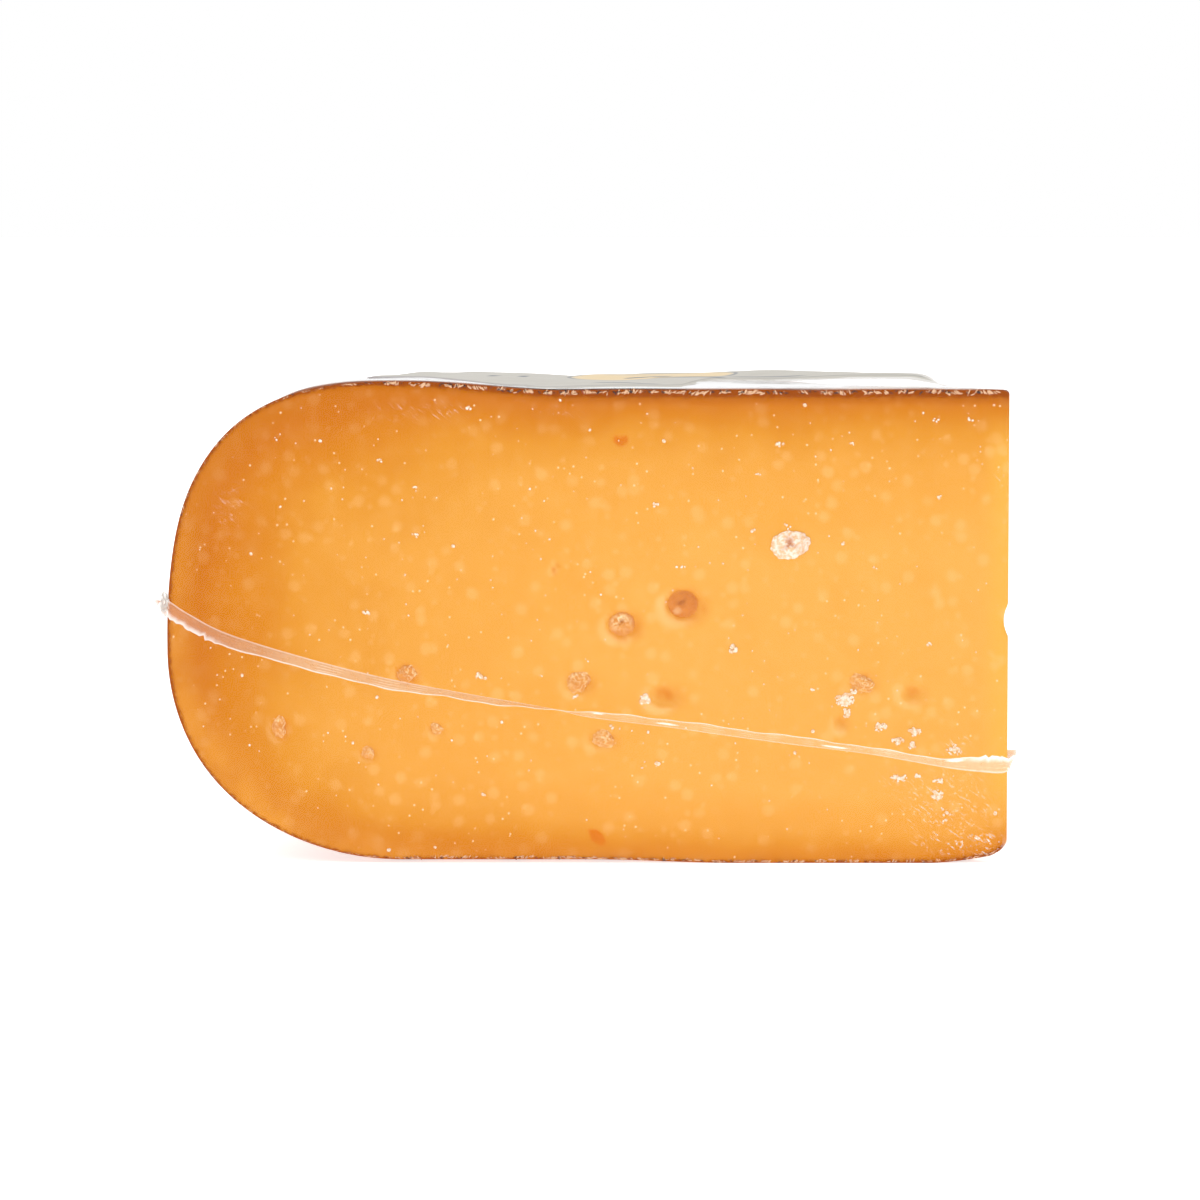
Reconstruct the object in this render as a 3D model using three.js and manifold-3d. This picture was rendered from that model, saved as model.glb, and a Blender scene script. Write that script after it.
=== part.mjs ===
// A wedge cut from a wheel of aged cheese, sealed in shrink film.
//
// Three solids: the cheese in its skin-tight film, the printed label on its top face, and the welded fin that
// joins the two edges of the film. Units are millimetres and +Z is up. The wedge stands on the wheel's flat
// underside. Its front cut face looks towards -Y, the rounded rind is at -X and the wheel's centre, the tip of
// the wedge, is at +X. Everything is built around the wheel's axis, and the group is then moved so that the
// middle of its footprint is the origin.
import * as THREE from "three";
import { mergeVertices } from "three/addons/utils/BufferGeometryUtils.js";
import Module from "manifold-3d";

const wasm = await Module();
wasm.setup();

// ---------------------------------------------------------------- driving dimensions
const WHEEL_RADIUS = 186.45;
const WIDEST_HEIGHT = 46.7; // of the wheel's widest line above the table
const SHOULDER_HEIGHT = 105.6; // the top face at its highest, where the rim begins to round over
const TOP_SHOULDER = 52; // from the widest line in to the edge of the top face
const FOOT_SHOULDER = 51.5; // from the widest line in to the edge of the underside
const TOP_ROUNDNESS = 2.8; // the power of the rim's curve above the widest line, 2 being an ellipse
const FOOT_ROUNDNESS = 2.06;
const TOP_DISH = 1.8; // how far the top face sinks towards the middle of the wheel
const DISHED_RADIUS = 100; // the top face is level inside this radius
const RIND_DENT = 0.28; // how deep the rind's soft dents are
const RIND_STEP = 6; // between the rows of vertices round the profile
const COLUMN_ANGLE = THREE.MathUtils.degToRad(1.75); // between the columns round the wheel

const WEDGE_ANGLE = THREE.MathUtils.degToRad(35);
const TIP_RADIUS = 1.2; // the knife-thin end is a little blunt
const TIP_CHIP_LENGTH = 17; // the underside is worn away for this length behind the tip
const TIP_CHIP_HEIGHT = 2.4;
const TIP_FOOT_CORNER = 4.2; // radius of the tip's lower corner, and of its upper one
const TIP_TOP_CORNER = 1.1;
const TIP_NOTCH = { up: 53.4, deep: 0.95, high: 7 };
// The front cut's lower edge stands a little clear of the table, further from the tip than this.
const FRONT_LIFT = { high: 0.8, from: 62, to: 94, deep: 9 };
const SHOULDER_SAG = 1.9; // how far the shoulder of the top face sinks from the front cut to the back one

const LABEL = {
  start: 14.5, // from the tip
  end: 143,
  inset: 2.6, // from either cut face
  corner: 7,
  thick: 0.5,
};
// Air is trapped under the film near the tip, where the label's back edge stands highest.
const TENT = { high: 3.3, start: 12, crest: 23, end: 110, slump: 0.65 };

const FIN = {
  wide: 3.3,
  thick: 0.5,
  clear: 0.32, // between the cheese and the fin's root
  pastTip: 9, // how far it goes on round the tip
  step: 4.2,
};
const REST_GAP = 0.32; // kept under what lies on the cheese

// The bubbles that the cuts opened on the front face: how far from the tip, how high, width, height and depth,
// and for a slit its slant in degrees.
const FRONT_EYES = [
  { along: 71.2, up: 57.0, wide: 7.5, high: 6.6, deep: 1.9 },
  { along: 84.5, up: 52.6, wide: 6.6, high: 5.9, deep: 1.5 },
  { along: 93.9, up: 39.9, wide: 5.9, high: 4.8, deep: 1.1 },
  { along: 75.1, up: 37.0, wide: 6.8, high: 5.3, deep: 1.0 },
  { along: 88.7, up: 27.4, wide: 5.9, high: 3.9, deep: 0.9 },
  { along: 32.0, up: 39.7, wide: 5.5, high: 4.6, deep: 0.9 },
  { along: 36.6, up: 30.9, wide: 3.3, high: 3.7, deep: 0.8 },
  { along: 20.8, up: 37.5, wide: 5.3, high: 4.4, deep: 0.8 },
  { along: 131.7, up: 41.7, wide: 4.6, high: 4.4, deep: 0.9 },
  { along: 159.4, up: 30.0, wide: 3.5, high: 4.8, deep: 1.0 },
  { along: 140.1, up: 24.3, wide: 2.9, high: 2.6, deep: 0.8 },
  { along: 125.2, up: 29.6, wide: 3.1, high: 2.6, deep: 0.8 },
  { along: 84.7, up: 92.9, wide: 2.9, high: 2.0, deep: 1.2 },
  { along: 90.0, up: 4.9, wide: 3.7, high: 2.0, deep: 1.0, slant: 48 },
];
const CRUST = { along: 47.8, up: 70.0, wide: 8.3, high: 6.4, proud: 0.6 }; // a rosette of crystals over an eye
const BACK_EYES = { count: 10, seed: 20, smallest: 2.8, largest: 7.2, deep: 0.22 };
const EYE_FACETS = [14, 8];

// ---------------------------------------------------------------- shapes in common
const smooth = (value, from, to) => THREE.MathUtils.smoothstep(value, from, to);

function seededRandom(seed) {
  let state = seed;
  return () => {
    state = (state * 1664525 + 1013904223) % 4294967296;
    return state / 4294967296;
  };
}

// A closed three.js geometry as a solid that can be joined and cut, and back again.
function solidOf(geometry) {
  const bare = new THREE.BufferGeometry();
  bare.setAttribute("position", geometry.getAttribute("position"));
  bare.setIndex(geometry.index);
  const merged = mergeVertices(bare, 1e-4);
  return new wasm.Manifold(
    new wasm.Mesh({
      numProp: 3,
      vertProperties: merged.attributes.position.array,
      triVerts: new Uint32Array(merged.index.array),
    }),
  );
}

function geometryOf(solid) {
  const mesh = solid.getMesh();
  const geometry = new THREE.BufferGeometry();
  geometry.setAttribute("position", new THREE.BufferAttribute(mesh.vertProperties, 3));
  geometry.setIndex(new THREE.BufferAttribute(mesh.triVerts, 1));
  geometry.computeVertexNormals();
  return geometry;
}

// A thin closed solid between two faces. Each section is a row of points across it, one row for either face.
function sheetSolid(sections) {
  const across = sections[0].lower.length;
  const positions = [];
  sections.forEach(({ lower, upper }) => {
    [...lower, ...upper].forEach((point) => positions.push(point.x, point.y, point.z));
  });
  const lower = (row, column) => row * 2 * across + column;
  const upper = (row, column) => lower(row, column) + across;
  const triangles = [];
  const quad = (a, b, c, d) => triangles.push(a, c, b, a, d, c);
  const last = sections.length - 1;
  for (let row = 0; row < last; row++) {
    for (let column = 0; column + 1 < across; column++) {
      quad(upper(row, column), upper(row + 1, column), upper(row + 1, column + 1), upper(row, column + 1));
      quad(lower(row, column + 1), lower(row + 1, column + 1), lower(row + 1, column), lower(row, column));
    }
    const edge = across - 1;
    quad(lower(row, 0), lower(row + 1, 0), upper(row + 1, 0), upper(row, 0));
    quad(upper(row, edge), upper(row + 1, edge), lower(row + 1, edge), lower(row, edge));
  }
  for (let column = 0; column + 1 < across; column++) {
    quad(lower(0, column), upper(0, column), upper(0, column + 1), lower(0, column + 1));
    quad(lower(last, column + 1), upper(last, column + 1), upper(last, column), lower(last, column));
  }
  const geometry = new THREE.BufferGeometry();
  geometry.setAttribute("position", new THREE.Float32BufferAttribute(positions, 3));
  geometry.setIndex(triangles);
  geometry.computeVertexNormals();
  return geometry;
}

// ---------------------------------------------------------------- the wheel
// The blunt tip is a round that touches both cut faces, so it lies this far from the wheel's axis.
const TIP_CENTRE = TIP_RADIUS / Math.sin(WEDGE_ANGLE / 2);
const TIP_SETBACK = TIP_CENTRE * Math.cos(WEDGE_ANGLE / 2) - TIP_RADIUS;

const cornerDrop = (fromTip, radius) =>
  fromTip >= radius ? 0 : radius - Math.sqrt(radius ** 2 - (radius - Math.max(fromTip, 0)) ** 2);

// Heights of the top face and of the underside at a distance from the wheel's axis.
function topHeight(radius) {
  const dish = TOP_DISH * (1 - smooth(radius, DISHED_RADIUS, WHEEL_RADIUS - TOP_SHOULDER));
  return SHOULDER_HEIGHT - dish - cornerDrop(radius - TIP_SETBACK, TIP_TOP_CORNER);
}

function footHeight(radius) {
  const fromTip = radius - TIP_SETBACK;
  const chip = TIP_CHIP_HEIGHT * Math.max(0, 1 - fromTip / TIP_CHIP_LENGTH) ** 1.6;
  return chip + cornerDrop(fromTip, TIP_FOOT_CORNER);
}

// One quarter of the rim's curve, from the edge of a flat face to the widest line.
function rimQuarter(reach, rise, roundness) {
  const steps = Math.round((reach + rise) / 1.4 / RIND_STEP);
  return Array.from({ length: steps + 1 }, (_, i) => {
    const turn = ((i / steps) * Math.PI) / 2;
    const out = reach * Math.sin(turn) ** (2 / roundness);
    return new THREE.Vector2(WHEEL_RADIUS - reach + out, rise * Math.cos(turn) ** (2 / roundness));
  });
}

function radiiBetween(from, to, step) {
  const steps = Math.ceil((to - from) / step);
  return Array.from({ length: steps }, (_, i) => from + ((to - from) * i) / steps);
}

// The wheel's outline from the middle of its underside, round the rim, to the middle of its top.
function wheelProfile() {
  const nearTip = [0, 0.25, 0.5, 1, 2, TIP_FOOT_CORNER, 8, 12, TIP_CHIP_LENGTH].map((step) => TIP_SETBACK + step);
  const beyondChip = nearTip.at(-1) + RIND_STEP / 2;
  const footRadii = [...nearTip, ...radiiBetween(beyondChip, WHEEL_RADIUS - FOOT_SHOULDER, 2 * RIND_STEP)];
  const topRadii = [...nearTip, ...radiiBetween(beyondChip, WHEEL_RADIUS - TOP_SHOULDER, RIND_STEP)];
  const foot = footRadii.map((radius) => new THREE.Vector2(radius, footHeight(radius)));
  const top = topRadii.map((radius) => new THREE.Vector2(radius, topHeight(radius)));
  const lowerRim = rimQuarter(FOOT_SHOULDER, WIDEST_HEIGHT, FOOT_ROUNDNESS).map(
    (point) => new THREE.Vector2(point.x, WIDEST_HEIGHT - point.y),
  );
  const upperRim = rimQuarter(TOP_SHOULDER, SHOULDER_HEIGHT - WIDEST_HEIGHT, TOP_ROUNDNESS)
    .map((point) => new THREE.Vector2(point.x, WIDEST_HEIGHT + point.y))
    .reverse()
    .slice(1);
  const axisFoot = new THREE.Vector2(0, foot[0].y);
  const axisTop = new THREE.Vector2(0, top[0].y);
  return [axisFoot, ...foot, ...lowerRim, ...upperRim, ...top.reverse(), axisTop];
}

// Soft dents in the rind, shallower at the front cut.
function rindRelief(x, y, z) {
  const broad = Math.sin(x / 9.5 + 1.3 * Math.sin(y / 14)) * Math.sin(y / 8 + z / 10.5);
  const fine = 0.6 * Math.sin(x / 4.7 + z / 5.2 + y / 6.1);
  return RIND_DENT * (broad + fine) * (0.25 + 0.75 * smooth(y, 0, 15));
}

// How far the film stands off the top face over the trapped air.
function tentHeight(radius, turn) {
  const along = radius - TIP_SETBACK;
  const rise = smooth(along, TENT.start, TENT.crest);
  const fall = THREE.MathUtils.clamp((TENT.end - along) / (TENT.end - TENT.crest), 0, 1) ** TENT.slump;
  const share = THREE.MathUtils.clamp(turn / WEDGE_ANGLE, 0, 1);
  const fromBack = radius * Math.sin(WEDGE_ANGLE - turn);
  return TENT.high * rise * fall * share ** 0.8 * smooth(fromBack, 0, LABEL.inset);
}

// What the wheel's even top gains or loses at a place: dents, the sagging shoulder and the film's tent.
function topRelief(x, y, z) {
  const radius = Math.hypot(x, y);
  const turn = Math.atan2(y, -x);
  const sag = SHOULDER_SAG * smooth(radius, DISHED_RADIUS, WHEEL_RADIUS - TOP_SHOULDER);
  const dents = rindRelief(x, y, z) * smooth(radius, TIP_SETBACK + 4, TIP_SETBACK + 12);
  return dents - sag * smooth(turn, 0, WEDGE_ANGLE) + tentHeight(radius, turn);
}

function wheel() {
  const columns = Math.round((2 * Math.PI) / COLUMN_ANGLE);
  const geometry = new THREE.LatheGeometry(wheelProfile(), columns).rotateX(Math.PI / 2);
  const position = geometry.getAttribute("position");
  for (let i = 0; i < position.count; i++) {
    const [x, y, z] = [position.getX(i), position.getY(i), position.getZ(i)];
    const radius = Math.hypot(x, y);
    const upper = smooth(z, WIDEST_HEIGHT, SHOULDER_HEIGHT - 8);
    const rim = smooth(radius, WHEEL_RADIUS - FOOT_SHOULDER, WHEEL_RADIUS - 14);
    const out = 1 + (rindRelief(x, y, z) * rim) / WHEEL_RADIUS;
    const lowFront = (1 - smooth(y, 0, FRONT_LIFT.deep)) * (1 - smooth(z, 0, 3 * FRONT_LIFT.deep));
    const lift = FRONT_LIFT.high * smooth(radius, FRONT_LIFT.from, FRONT_LIFT.to) * lowFront;
    position.setXYZ(i, x * out, y * out, z + lift + topRelief(x, y, z) * upper * (1 - rim));
  }
  return solidOf(geometry);
}

// ---------------------------------------------------------------- the cut wedge
// A point on a cut face: angle 0 is the front cut, WEDGE_ANGLE the back one.
function onCut(angle, along, up) {
  const radius = along + TIP_SETBACK;
  return new THREE.Vector3(-radius * Math.cos(angle), radius * Math.sin(angle), up);
}

function slicePrism() {
  const reach = 1.3 * WHEEL_RADIUS;
  const shape = new THREE.Shape();
  const bisector = new THREE.Vector2(-Math.cos(WEDGE_ANGLE / 2), Math.sin(WEDGE_ANGLE / 2));
  const centre = bisector.multiplyScalar(TIP_CENTRE);
  shape.moveTo(-reach, 0);
  shape.lineTo(centre.x, 0);
  shape.absarc(centre.x, centre.y, TIP_RADIUS, -Math.PI / 2, Math.PI / 2 - WEDGE_ANGLE, false);
  shape.lineTo(-reach * Math.cos(WEDGE_ANGLE), reach * Math.sin(WEDGE_ANGLE));
  shape.closePath();
  const depth = SHOULDER_HEIGHT + 20;
  const geometry = new THREE.ExtrudeGeometry(shape, { depth, bevelEnabled: false, curveSegments: 4 });
  return solidOf(geometry.translate(0, 0, -10));
}

function tipNotch() {
  const half = TIP_NOTCH.high / 2;
  const radius = (half ** 2 + TIP_NOTCH.deep ** 2) / (2 * TIP_NOTCH.deep);
  const geometry = new THREE.CylinderGeometry(radius, radius, 20, 40);
  return solidOf(geometry.translate(-TIP_SETBACK + radius - TIP_NOTCH.deep, 0, TIP_NOTCH.up));
}

// An ellipsoid centred on a cut face, seen as a hollow or a swelling of the given width and height.
function eyeSolid(angle, { along, up, wide, high, deep, slant = 0 }) {
  const geometry = new THREE.SphereGeometry(1, ...EYE_FACETS);
  geometry.scale(wide / 2, deep, high / 2);
  geometry.rotateY(THREE.MathUtils.degToRad(-slant));
  geometry.rotateZ(-angle);
  return solidOf(geometry.translate(...onCut(angle, along, up).toArray()));
}

function backEyes() {
  const random = seededRandom(BACK_EYES.seed);
  const placed = [];
  while (placed.length < BACK_EYES.count) {
    const wide = THREE.MathUtils.lerp(BACK_EYES.smallest, BACK_EYES.largest, random() ** 1.6);
    const eye = {
      along: THREE.MathUtils.lerp(22, 158, random()),
      up: THREE.MathUtils.lerp(20, 76, random()),
      wide,
      high: wide * THREE.MathUtils.lerp(0.75, 1, random()),
      deep: BACK_EYES.deep * wide,
    };
    if (placed.every((other) => Math.hypot(other.along - eye.along, other.up - eye.up) > 12)) placed.push(eye);
  }
  return placed;
}

function cheeseSolid() {
  let solid = wheel().intersect(slicePrism()).subtract(tipNotch());
  FRONT_EYES.forEach((eye) => {
    solid = solid.subtract(eyeSolid(0, eye));
  });
  backEyes().forEach((eye) => {
    solid = solid.subtract(eyeSolid(WEDGE_ANGLE, eye));
  });
  return solid.add(eyeSolid(0, { ...CRUST, deep: CRUST.proud }));
}

// ---------------------------------------------------------------- the label
function labelGeometry() {
  const across = 7;
  const ends = [LABEL.start, LABEL.end];
  const alongs = [
    ...[0, 0.12, 0.35, 0.65].map((share) => ends[0] + share * LABEL.corner),
    ...radiiBetween(ends[0] + LABEL.corner, ends[1] - LABEL.corner, RIND_STEP),
    ...[1, 0.65, 0.35, 0.12, 0].map((share) => ends[1] - share * LABEL.corner),
  ];
  const sections = alongs.map((along) => {
    const radius = along + TIP_SETBACK;
    const fromEnd = Math.min(along - ends[0], ends[1] - along);
    const span = WEDGE_ANGLE - 2 * Math.asin(LABEL.inset / radius);
    const corner = Math.min(LABEL.corner, 0.45 * span * radius);
    const trim = (cornerDrop(fromEnd * (corner / LABEL.corner), corner) * 0.96) / radius;
    const first = (WEDGE_ANGLE - span) / 2 + trim;
    const lower = [];
    const upper = [];
    for (let column = 0; column < across; column++) {
      const share = column / (across - 1);
      const angle = first + share * (span - 2 * trim);
      const [x, y] = [-radius * Math.cos(angle), radius * Math.sin(angle)];
      const height = topHeight(radius) + topRelief(x, y, topHeight(radius)) + REST_GAP;
      lower.push(new THREE.Vector3(x, y, height));
      upper.push(new THREE.Vector3(x, y, height + LABEL.thick));
    }
    return { lower, upper };
  });
  return sheetSolid(sections);
}

// ---------------------------------------------------------------- the film's fin
// The line along which the film is welded, on the front cut: distance from the tip, height, and the degrees that
// the fin leans down from standing straight out. It is folded down at the rim and up at the tip.
const WELD_ON_FRONT = [
  [183.3, 57.7, 84],
  [178.9, 54.8, 75],
  [170.2, 50.4, 47],
  [152.7, 45.0, 42],
  [135.2, 40.6, 32],
  [117.8, 37.3, 20],
  [100.2, 34.2, 0],
  [91.5, 32.2, -32],
  [74.0, 30.0, -42],
  [65.2, 28.7, -53],
  [47.7, 26.3, -50],
  [30.2, 24.1, -45],
  [12.6, 21.0, -50],
  [2.8, 19.9, -75],
].map(([along, up, lean]) => new THREE.Vector3(along, up, THREE.MathUtils.degToRad(lean)));

// The rim's distance from the axis at a height above its widest line.
function rimRadius(up) {
  const rise = (up - WIDEST_HEIGHT) / (SHOULDER_HEIGHT - WIDEST_HEIGHT);
  return WHEEL_RADIUS - TOP_SHOULDER * (1 - (1 - rise ** TOP_ROUNDNESS) ** (1 / TOP_ROUNDNESS));
}

// Stations along the weld, from the back of the rim, over the front cut, to just past the tip. Each has a
// place on the cheese, the direction that points straight out of it, and the fin's lean.
function weldStations() {
  const stations = [];
  const add = (place, out, lean) => stations.push({ place, out: out.clone().normalize(), lean });
  const atRim = WELD_ON_FRONT[0];
  const atTip = WELD_ON_FRONT.at(-1);

  const rimSteps = Math.round((WEDGE_ANGLE * WHEEL_RADIUS) / FIN.step);
  for (let i = rimSteps; i > 0; i--) {
    const turn = (WEDGE_ANGLE * (i - 0.35)) / rimSteps;
    const out = new THREE.Vector3(-Math.cos(turn), Math.sin(turn), 0);
    const up = atRim.y + 2.2 * Math.sin(turn * 5.2) - 1.2 * Math.sin(turn * 11);
    const place = out.clone().multiplyScalar(rimRadius(up) + RIND_DENT);
    add(place.setZ(up), out, atRim.z);
  }
  const corner = new THREE.Vector3(-rimRadius(atRim.y) - RIND_DENT, 0, atRim.y);
  for (const share of [0.1, 0.35, 0.65, 0.9]) {
    const bend = (share * Math.PI) / 2;
    add(corner, new THREE.Vector3(-Math.cos(bend), -Math.sin(bend), 0), atRim.z);
  }

  const curve = new THREE.CatmullRomCurve3(WELD_ON_FRONT);
  const frontSteps = Math.round(curve.getLength() / FIN.step);
  for (let i = 1; i <= frontSteps; i++) {
    const mark = curve.getPointAt(i / frontSteps);
    add(onCut(0, mark.x, mark.y), new THREE.Vector3(0, -1, 0), mark.z);
  }

  const bisector = new THREE.Vector3(-Math.cos(WEDGE_ANGLE / 2), Math.sin(WEDGE_ANGLE / 2), 0);
  for (const share of [0.05, 0.25, 0.5, 0.75, 0.95]) {
    const bend = share * (Math.PI - WEDGE_ANGLE) - Math.PI / 2;
    const out = new THREE.Vector3(Math.cos(bend), Math.sin(bend), 0);
    const place = bisector.clone().multiplyScalar(TIP_CENTRE).addScaledVector(out, TIP_RADIUS);
    add(place.setZ(atTip.y + 1.2 * share), out, atTip.z);
  }
  const back = new THREE.Vector3(Math.sin(WEDGE_ANGLE), Math.cos(WEDGE_ANGLE), 0);
  for (const share of [0.35, 0.7, 1]) {
    add(onCut(WEDGE_ANGLE, 3 + share * FIN.pastTip, atTip.y + 1.2 + 0.8 * share), back, atTip.z);
  }
  return stations;
}

function finGeometry() {
  const stations = weldStations();
  const last = stations.length - 1;
  const sections = stations.map(({ place, out, lean }, i) => {
    const ahead = stations[Math.min(i + 1, last)].place;
    const behind = stations[Math.max(i - 1, 0)].place;
    const tangent = ahead.clone().sub(behind).normalize();
    const upward = out.clone().cross(tangent).normalize();
    const blade = out.clone().multiplyScalar(Math.cos(lean)).addScaledVector(upward, -Math.sin(lean));
    const side = out.clone().multiplyScalar(Math.sin(lean)).addScaledVector(upward, Math.cos(lean));
    const wide = FIN.wide * (0.35 + 0.65 * smooth(Math.min(i, last - i), 0, 3));
    const root = place.clone().addScaledVector(out, FIN.clear + FIN.thick / 2);
    const row = (offset) =>
      [0, 0.5, 1].map((share) =>
        root
          .clone()
          .addScaledVector(blade, wide * share)
          .addScaledVector(side, offset),
      );
    return { lower: row(-FIN.thick / 2), upper: row(FIN.thick / 2) };
  });
  return sheetSolid(sections);
}

// ---------------------------------------------------------------- the object
const cheeseMaterial = new THREE.MeshStandardMaterial({ color: 0xf9b35a, roughness: 0.42, metalness: 0 });
const labelMaterial = new THREE.MeshStandardMaterial({ color: 0xd3d2cc, roughness: 0.3, metalness: 0 });
const filmMaterial = new THREE.MeshStandardMaterial({
  color: 0xf6d9c2,
  roughness: 0.15,
  metalness: 0,
  transparent: true,
  opacity: 0.6,
});

function named(name, geometry, material) {
  const mesh = new THREE.Mesh(geometry, material);
  mesh.name = name;
  return mesh;
}

const wedge = new THREE.Group();
wedge.add(named("cheese_in_film", geometryOf(cheeseSolid()), cheeseMaterial));
wedge.add(named("top_label", labelGeometry(), labelMaterial));
wedge.add(named("film_fin", finGeometry(), filmMaterial));

const footprint = new THREE.Box3().setFromObject(wedge);
const middle = footprint.getCenter(new THREE.Vector3());
wedge.position.set(-middle.x, -middle.y, -footprint.min.z);

export default wedge;
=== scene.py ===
"""A wedge of aged cheese sealed in clear shrink film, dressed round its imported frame.

Sizes and places are in millimetres and turn into metres only where a mesh is written. A place on the wedge is
given by its distance along from the tip, its height up from the table and its depth behind the front cut or,
where the wheel's round shape matters, by its radius from the wheel's axis and its turn from the front cut.
"""

from __future__ import annotations

import logging
import math
from collections.abc import Callable, Iterator, Sequence
from contextlib import contextmanager
from dataclasses import dataclass, field
from enum import Enum

import bpy
import numpy as np
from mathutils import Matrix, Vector, noise


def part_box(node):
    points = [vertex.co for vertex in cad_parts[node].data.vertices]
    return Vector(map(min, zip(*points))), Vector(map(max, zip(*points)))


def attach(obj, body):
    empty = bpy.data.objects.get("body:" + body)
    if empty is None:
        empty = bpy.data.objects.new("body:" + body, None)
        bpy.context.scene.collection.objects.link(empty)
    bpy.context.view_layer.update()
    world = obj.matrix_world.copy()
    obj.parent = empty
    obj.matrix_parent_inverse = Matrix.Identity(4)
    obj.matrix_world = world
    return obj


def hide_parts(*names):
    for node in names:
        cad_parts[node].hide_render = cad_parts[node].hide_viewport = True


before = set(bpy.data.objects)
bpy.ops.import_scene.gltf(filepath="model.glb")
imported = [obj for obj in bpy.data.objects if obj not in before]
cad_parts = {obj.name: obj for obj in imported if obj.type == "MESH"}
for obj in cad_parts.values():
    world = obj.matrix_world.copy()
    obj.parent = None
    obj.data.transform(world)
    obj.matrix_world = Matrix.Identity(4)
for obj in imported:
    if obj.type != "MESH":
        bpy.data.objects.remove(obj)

LOG = logging.getLogger("cheese_wedge")
MM = 0.001
BODY = "root"
CHEESE_NODE, LABEL_NODE, FIN_NODE = "cheese_in_film", "top_label", "film_fin"
NEAR_CUT = 1e-4  # a vertex whose turn is this close to a cut's, in radians, lies on the cut
NEAR_TIP = 0.02  # one whose radius is this close to the tip's, in millimetres, lies on the tip's end

Array = np.ndarray
Colour = tuple[float, float, float, float]
Piece = bpy.types.Object
Node = bpy.types.Node
Socket = bpy.types.NodeSocket
Material = bpy.types.Material
OnCut = Callable[..., Array]  # takes distances from the tip, heights and how proud, to points about the axis


# ---- small arithmetic
def smooth(value: Array | float, low: float, high: float) -> Array:
    """Rise smoothly from 0, where value is low, to 1, where it is high."""
    share = np.clip((np.asarray(value, float) - low) / (high - low), 0.0, 1.0)
    return share * share * (3.0 - 2.0 * share)


def fall(value: Array | float, low: float, high: float) -> Array:
    """Fall smoothly from 1, where value is low, to 0, where it is high."""
    return 1.0 - smooth(value, low, high)


def hue(red: int, green: int, blue: int) -> Colour:
    """Turn a colour as on screen, 0 to 255 a channel, into the linear colour that a shader takes."""
    parts = [channel / 255.0 for channel in (red, green, blue)]
    return (*(part / 12.92 if part <= 0.04045 else ((part + 0.055) / 1.055) ** 2.4 for part in parts), 1.0)


def ripple(places: Array, wavelength: float, seed: float = 0.0) -> Array:
    """Sample smooth noise, mostly between -1 and 1, whose lumps have a wavelength in millimetres."""
    return np.array([noise.noise(Vector(row)) for row in places / wavelength + seed])


def ripple_along(distance: Array, wavelength: float, seed: float) -> Array:
    """Sample smooth noise along a line, as ripple does in space."""
    return ripple(np.outer(distance, (1.0, 0.0, 0.0)), wavelength, seed)


def along_line(points: Array, count: int, measured: int | None = None) -> Array:
    """Space points evenly along a line of straight pieces.

    Args:
        points: The corners of the line, one row each.
        count: How many points to return, the two ends included.
        measured: How many of a row's first numbers make up its place; all of them where it is left out.

    Returns:
        The evenly spaced points.
    """
    steps = np.linalg.norm(np.diff(points[:, :measured], axis=0), axis=1)
    reached = np.concatenate([[0.0], np.cumsum(steps)])
    wanted = np.linspace(0.0, reached[-1], count)
    return np.column_stack([np.interp(wanted, reached, points[:, axis]) for axis in range(points.shape[1])])


def gaps_between(spots: Array, line: Array) -> Iterator[Array]:
    """Measure from spots to all points of a line, and yield some spots' rows at a time to spare memory."""
    for part in np.array_split(spots, 60):
        yield np.sqrt(((part[:, None, :] - line[None, :, :]) ** 2).sum(2))


def unit(rows: Array) -> Array:
    """Bring each row, a direction, to length 1."""
    return rows / np.linalg.norm(rows, axis=1)[:, None]


def turned(across: Array, over: Array, angle: float) -> tuple[Array, Array]:
    """Turn flat places about their origin by an angle in radians."""
    cosine, sine = math.cos(angle), math.sin(angle)
    return across * cosine - over * sine, across * sine + over * cosine


def polar(places: Array) -> tuple[Array, Array]:
    """Give each place's radius from the wheel's axis and its turn from the front cut, in radians."""
    return np.hypot(places[:, 0], places[:, 1]), np.arctan2(places[:, 1], -places[:, 0])


# ---- mesh tools
def deselect_all() -> None:
    """Leave edit mode and select nothing, so that an operator acts on new work alone."""
    if bpy.context.object and bpy.context.object.mode != "OBJECT":
        bpy.ops.object.mode_set(mode="OBJECT")
    bpy.ops.object.select_all(action="DESELECT")


def vertices_of(piece: Piece, what: str = "co") -> Array:
    """Read a piece's vertices, one row each: their places, or their normals where what is "normal"."""
    rows = np.empty((len(piece.data.vertices), 3))
    piece.data.vertices.foreach_get(what, rows.ravel())
    return rows


def move_vertices(piece: Piece, places: Array) -> None:
    """Give a piece's vertices new places, one row each."""
    piece.data.vertices.foreach_set("co", np.ascontiguousarray(places, dtype=float).ravel())
    piece.data.update()


def store(piece: Piece, **values: Array) -> None:
    """Keep numbers for each vertex, under names that a material can read."""
    for name, numbers in values.items():
        layer = piece.data.attributes.new(name, "FLOAT", "POINT")
        layer.data.foreach_set("value", np.asarray(numbers, float))


def add_grid(columns: int, rows: int) -> tuple[Piece, Array, Array]:
    """Add a flat grid primitive, ready to be shaped.

    Args:
        columns: Vertices along its first side.
        rows: Vertices along its second side.

    Returns:
        The grid, and each vertex's share of the way along the first and the second side.
    """
    deselect_all()
    bpy.ops.mesh.primitive_grid_add(x_subdivisions=columns - 1, y_subdivisions=rows - 1, size=2)
    piece = bpy.context.object
    places = vertices_of(piece)
    return piece, (places[:, 0] + 1.0) / 2.0, (places[:, 1] + 1.0) / 2.0


def take_up(piece: Piece) -> None:
    """Select one piece alone and make it the active one."""
    deselect_all()
    bpy.context.view_layer.objects.active = piece
    piece.select_set(True)


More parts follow.
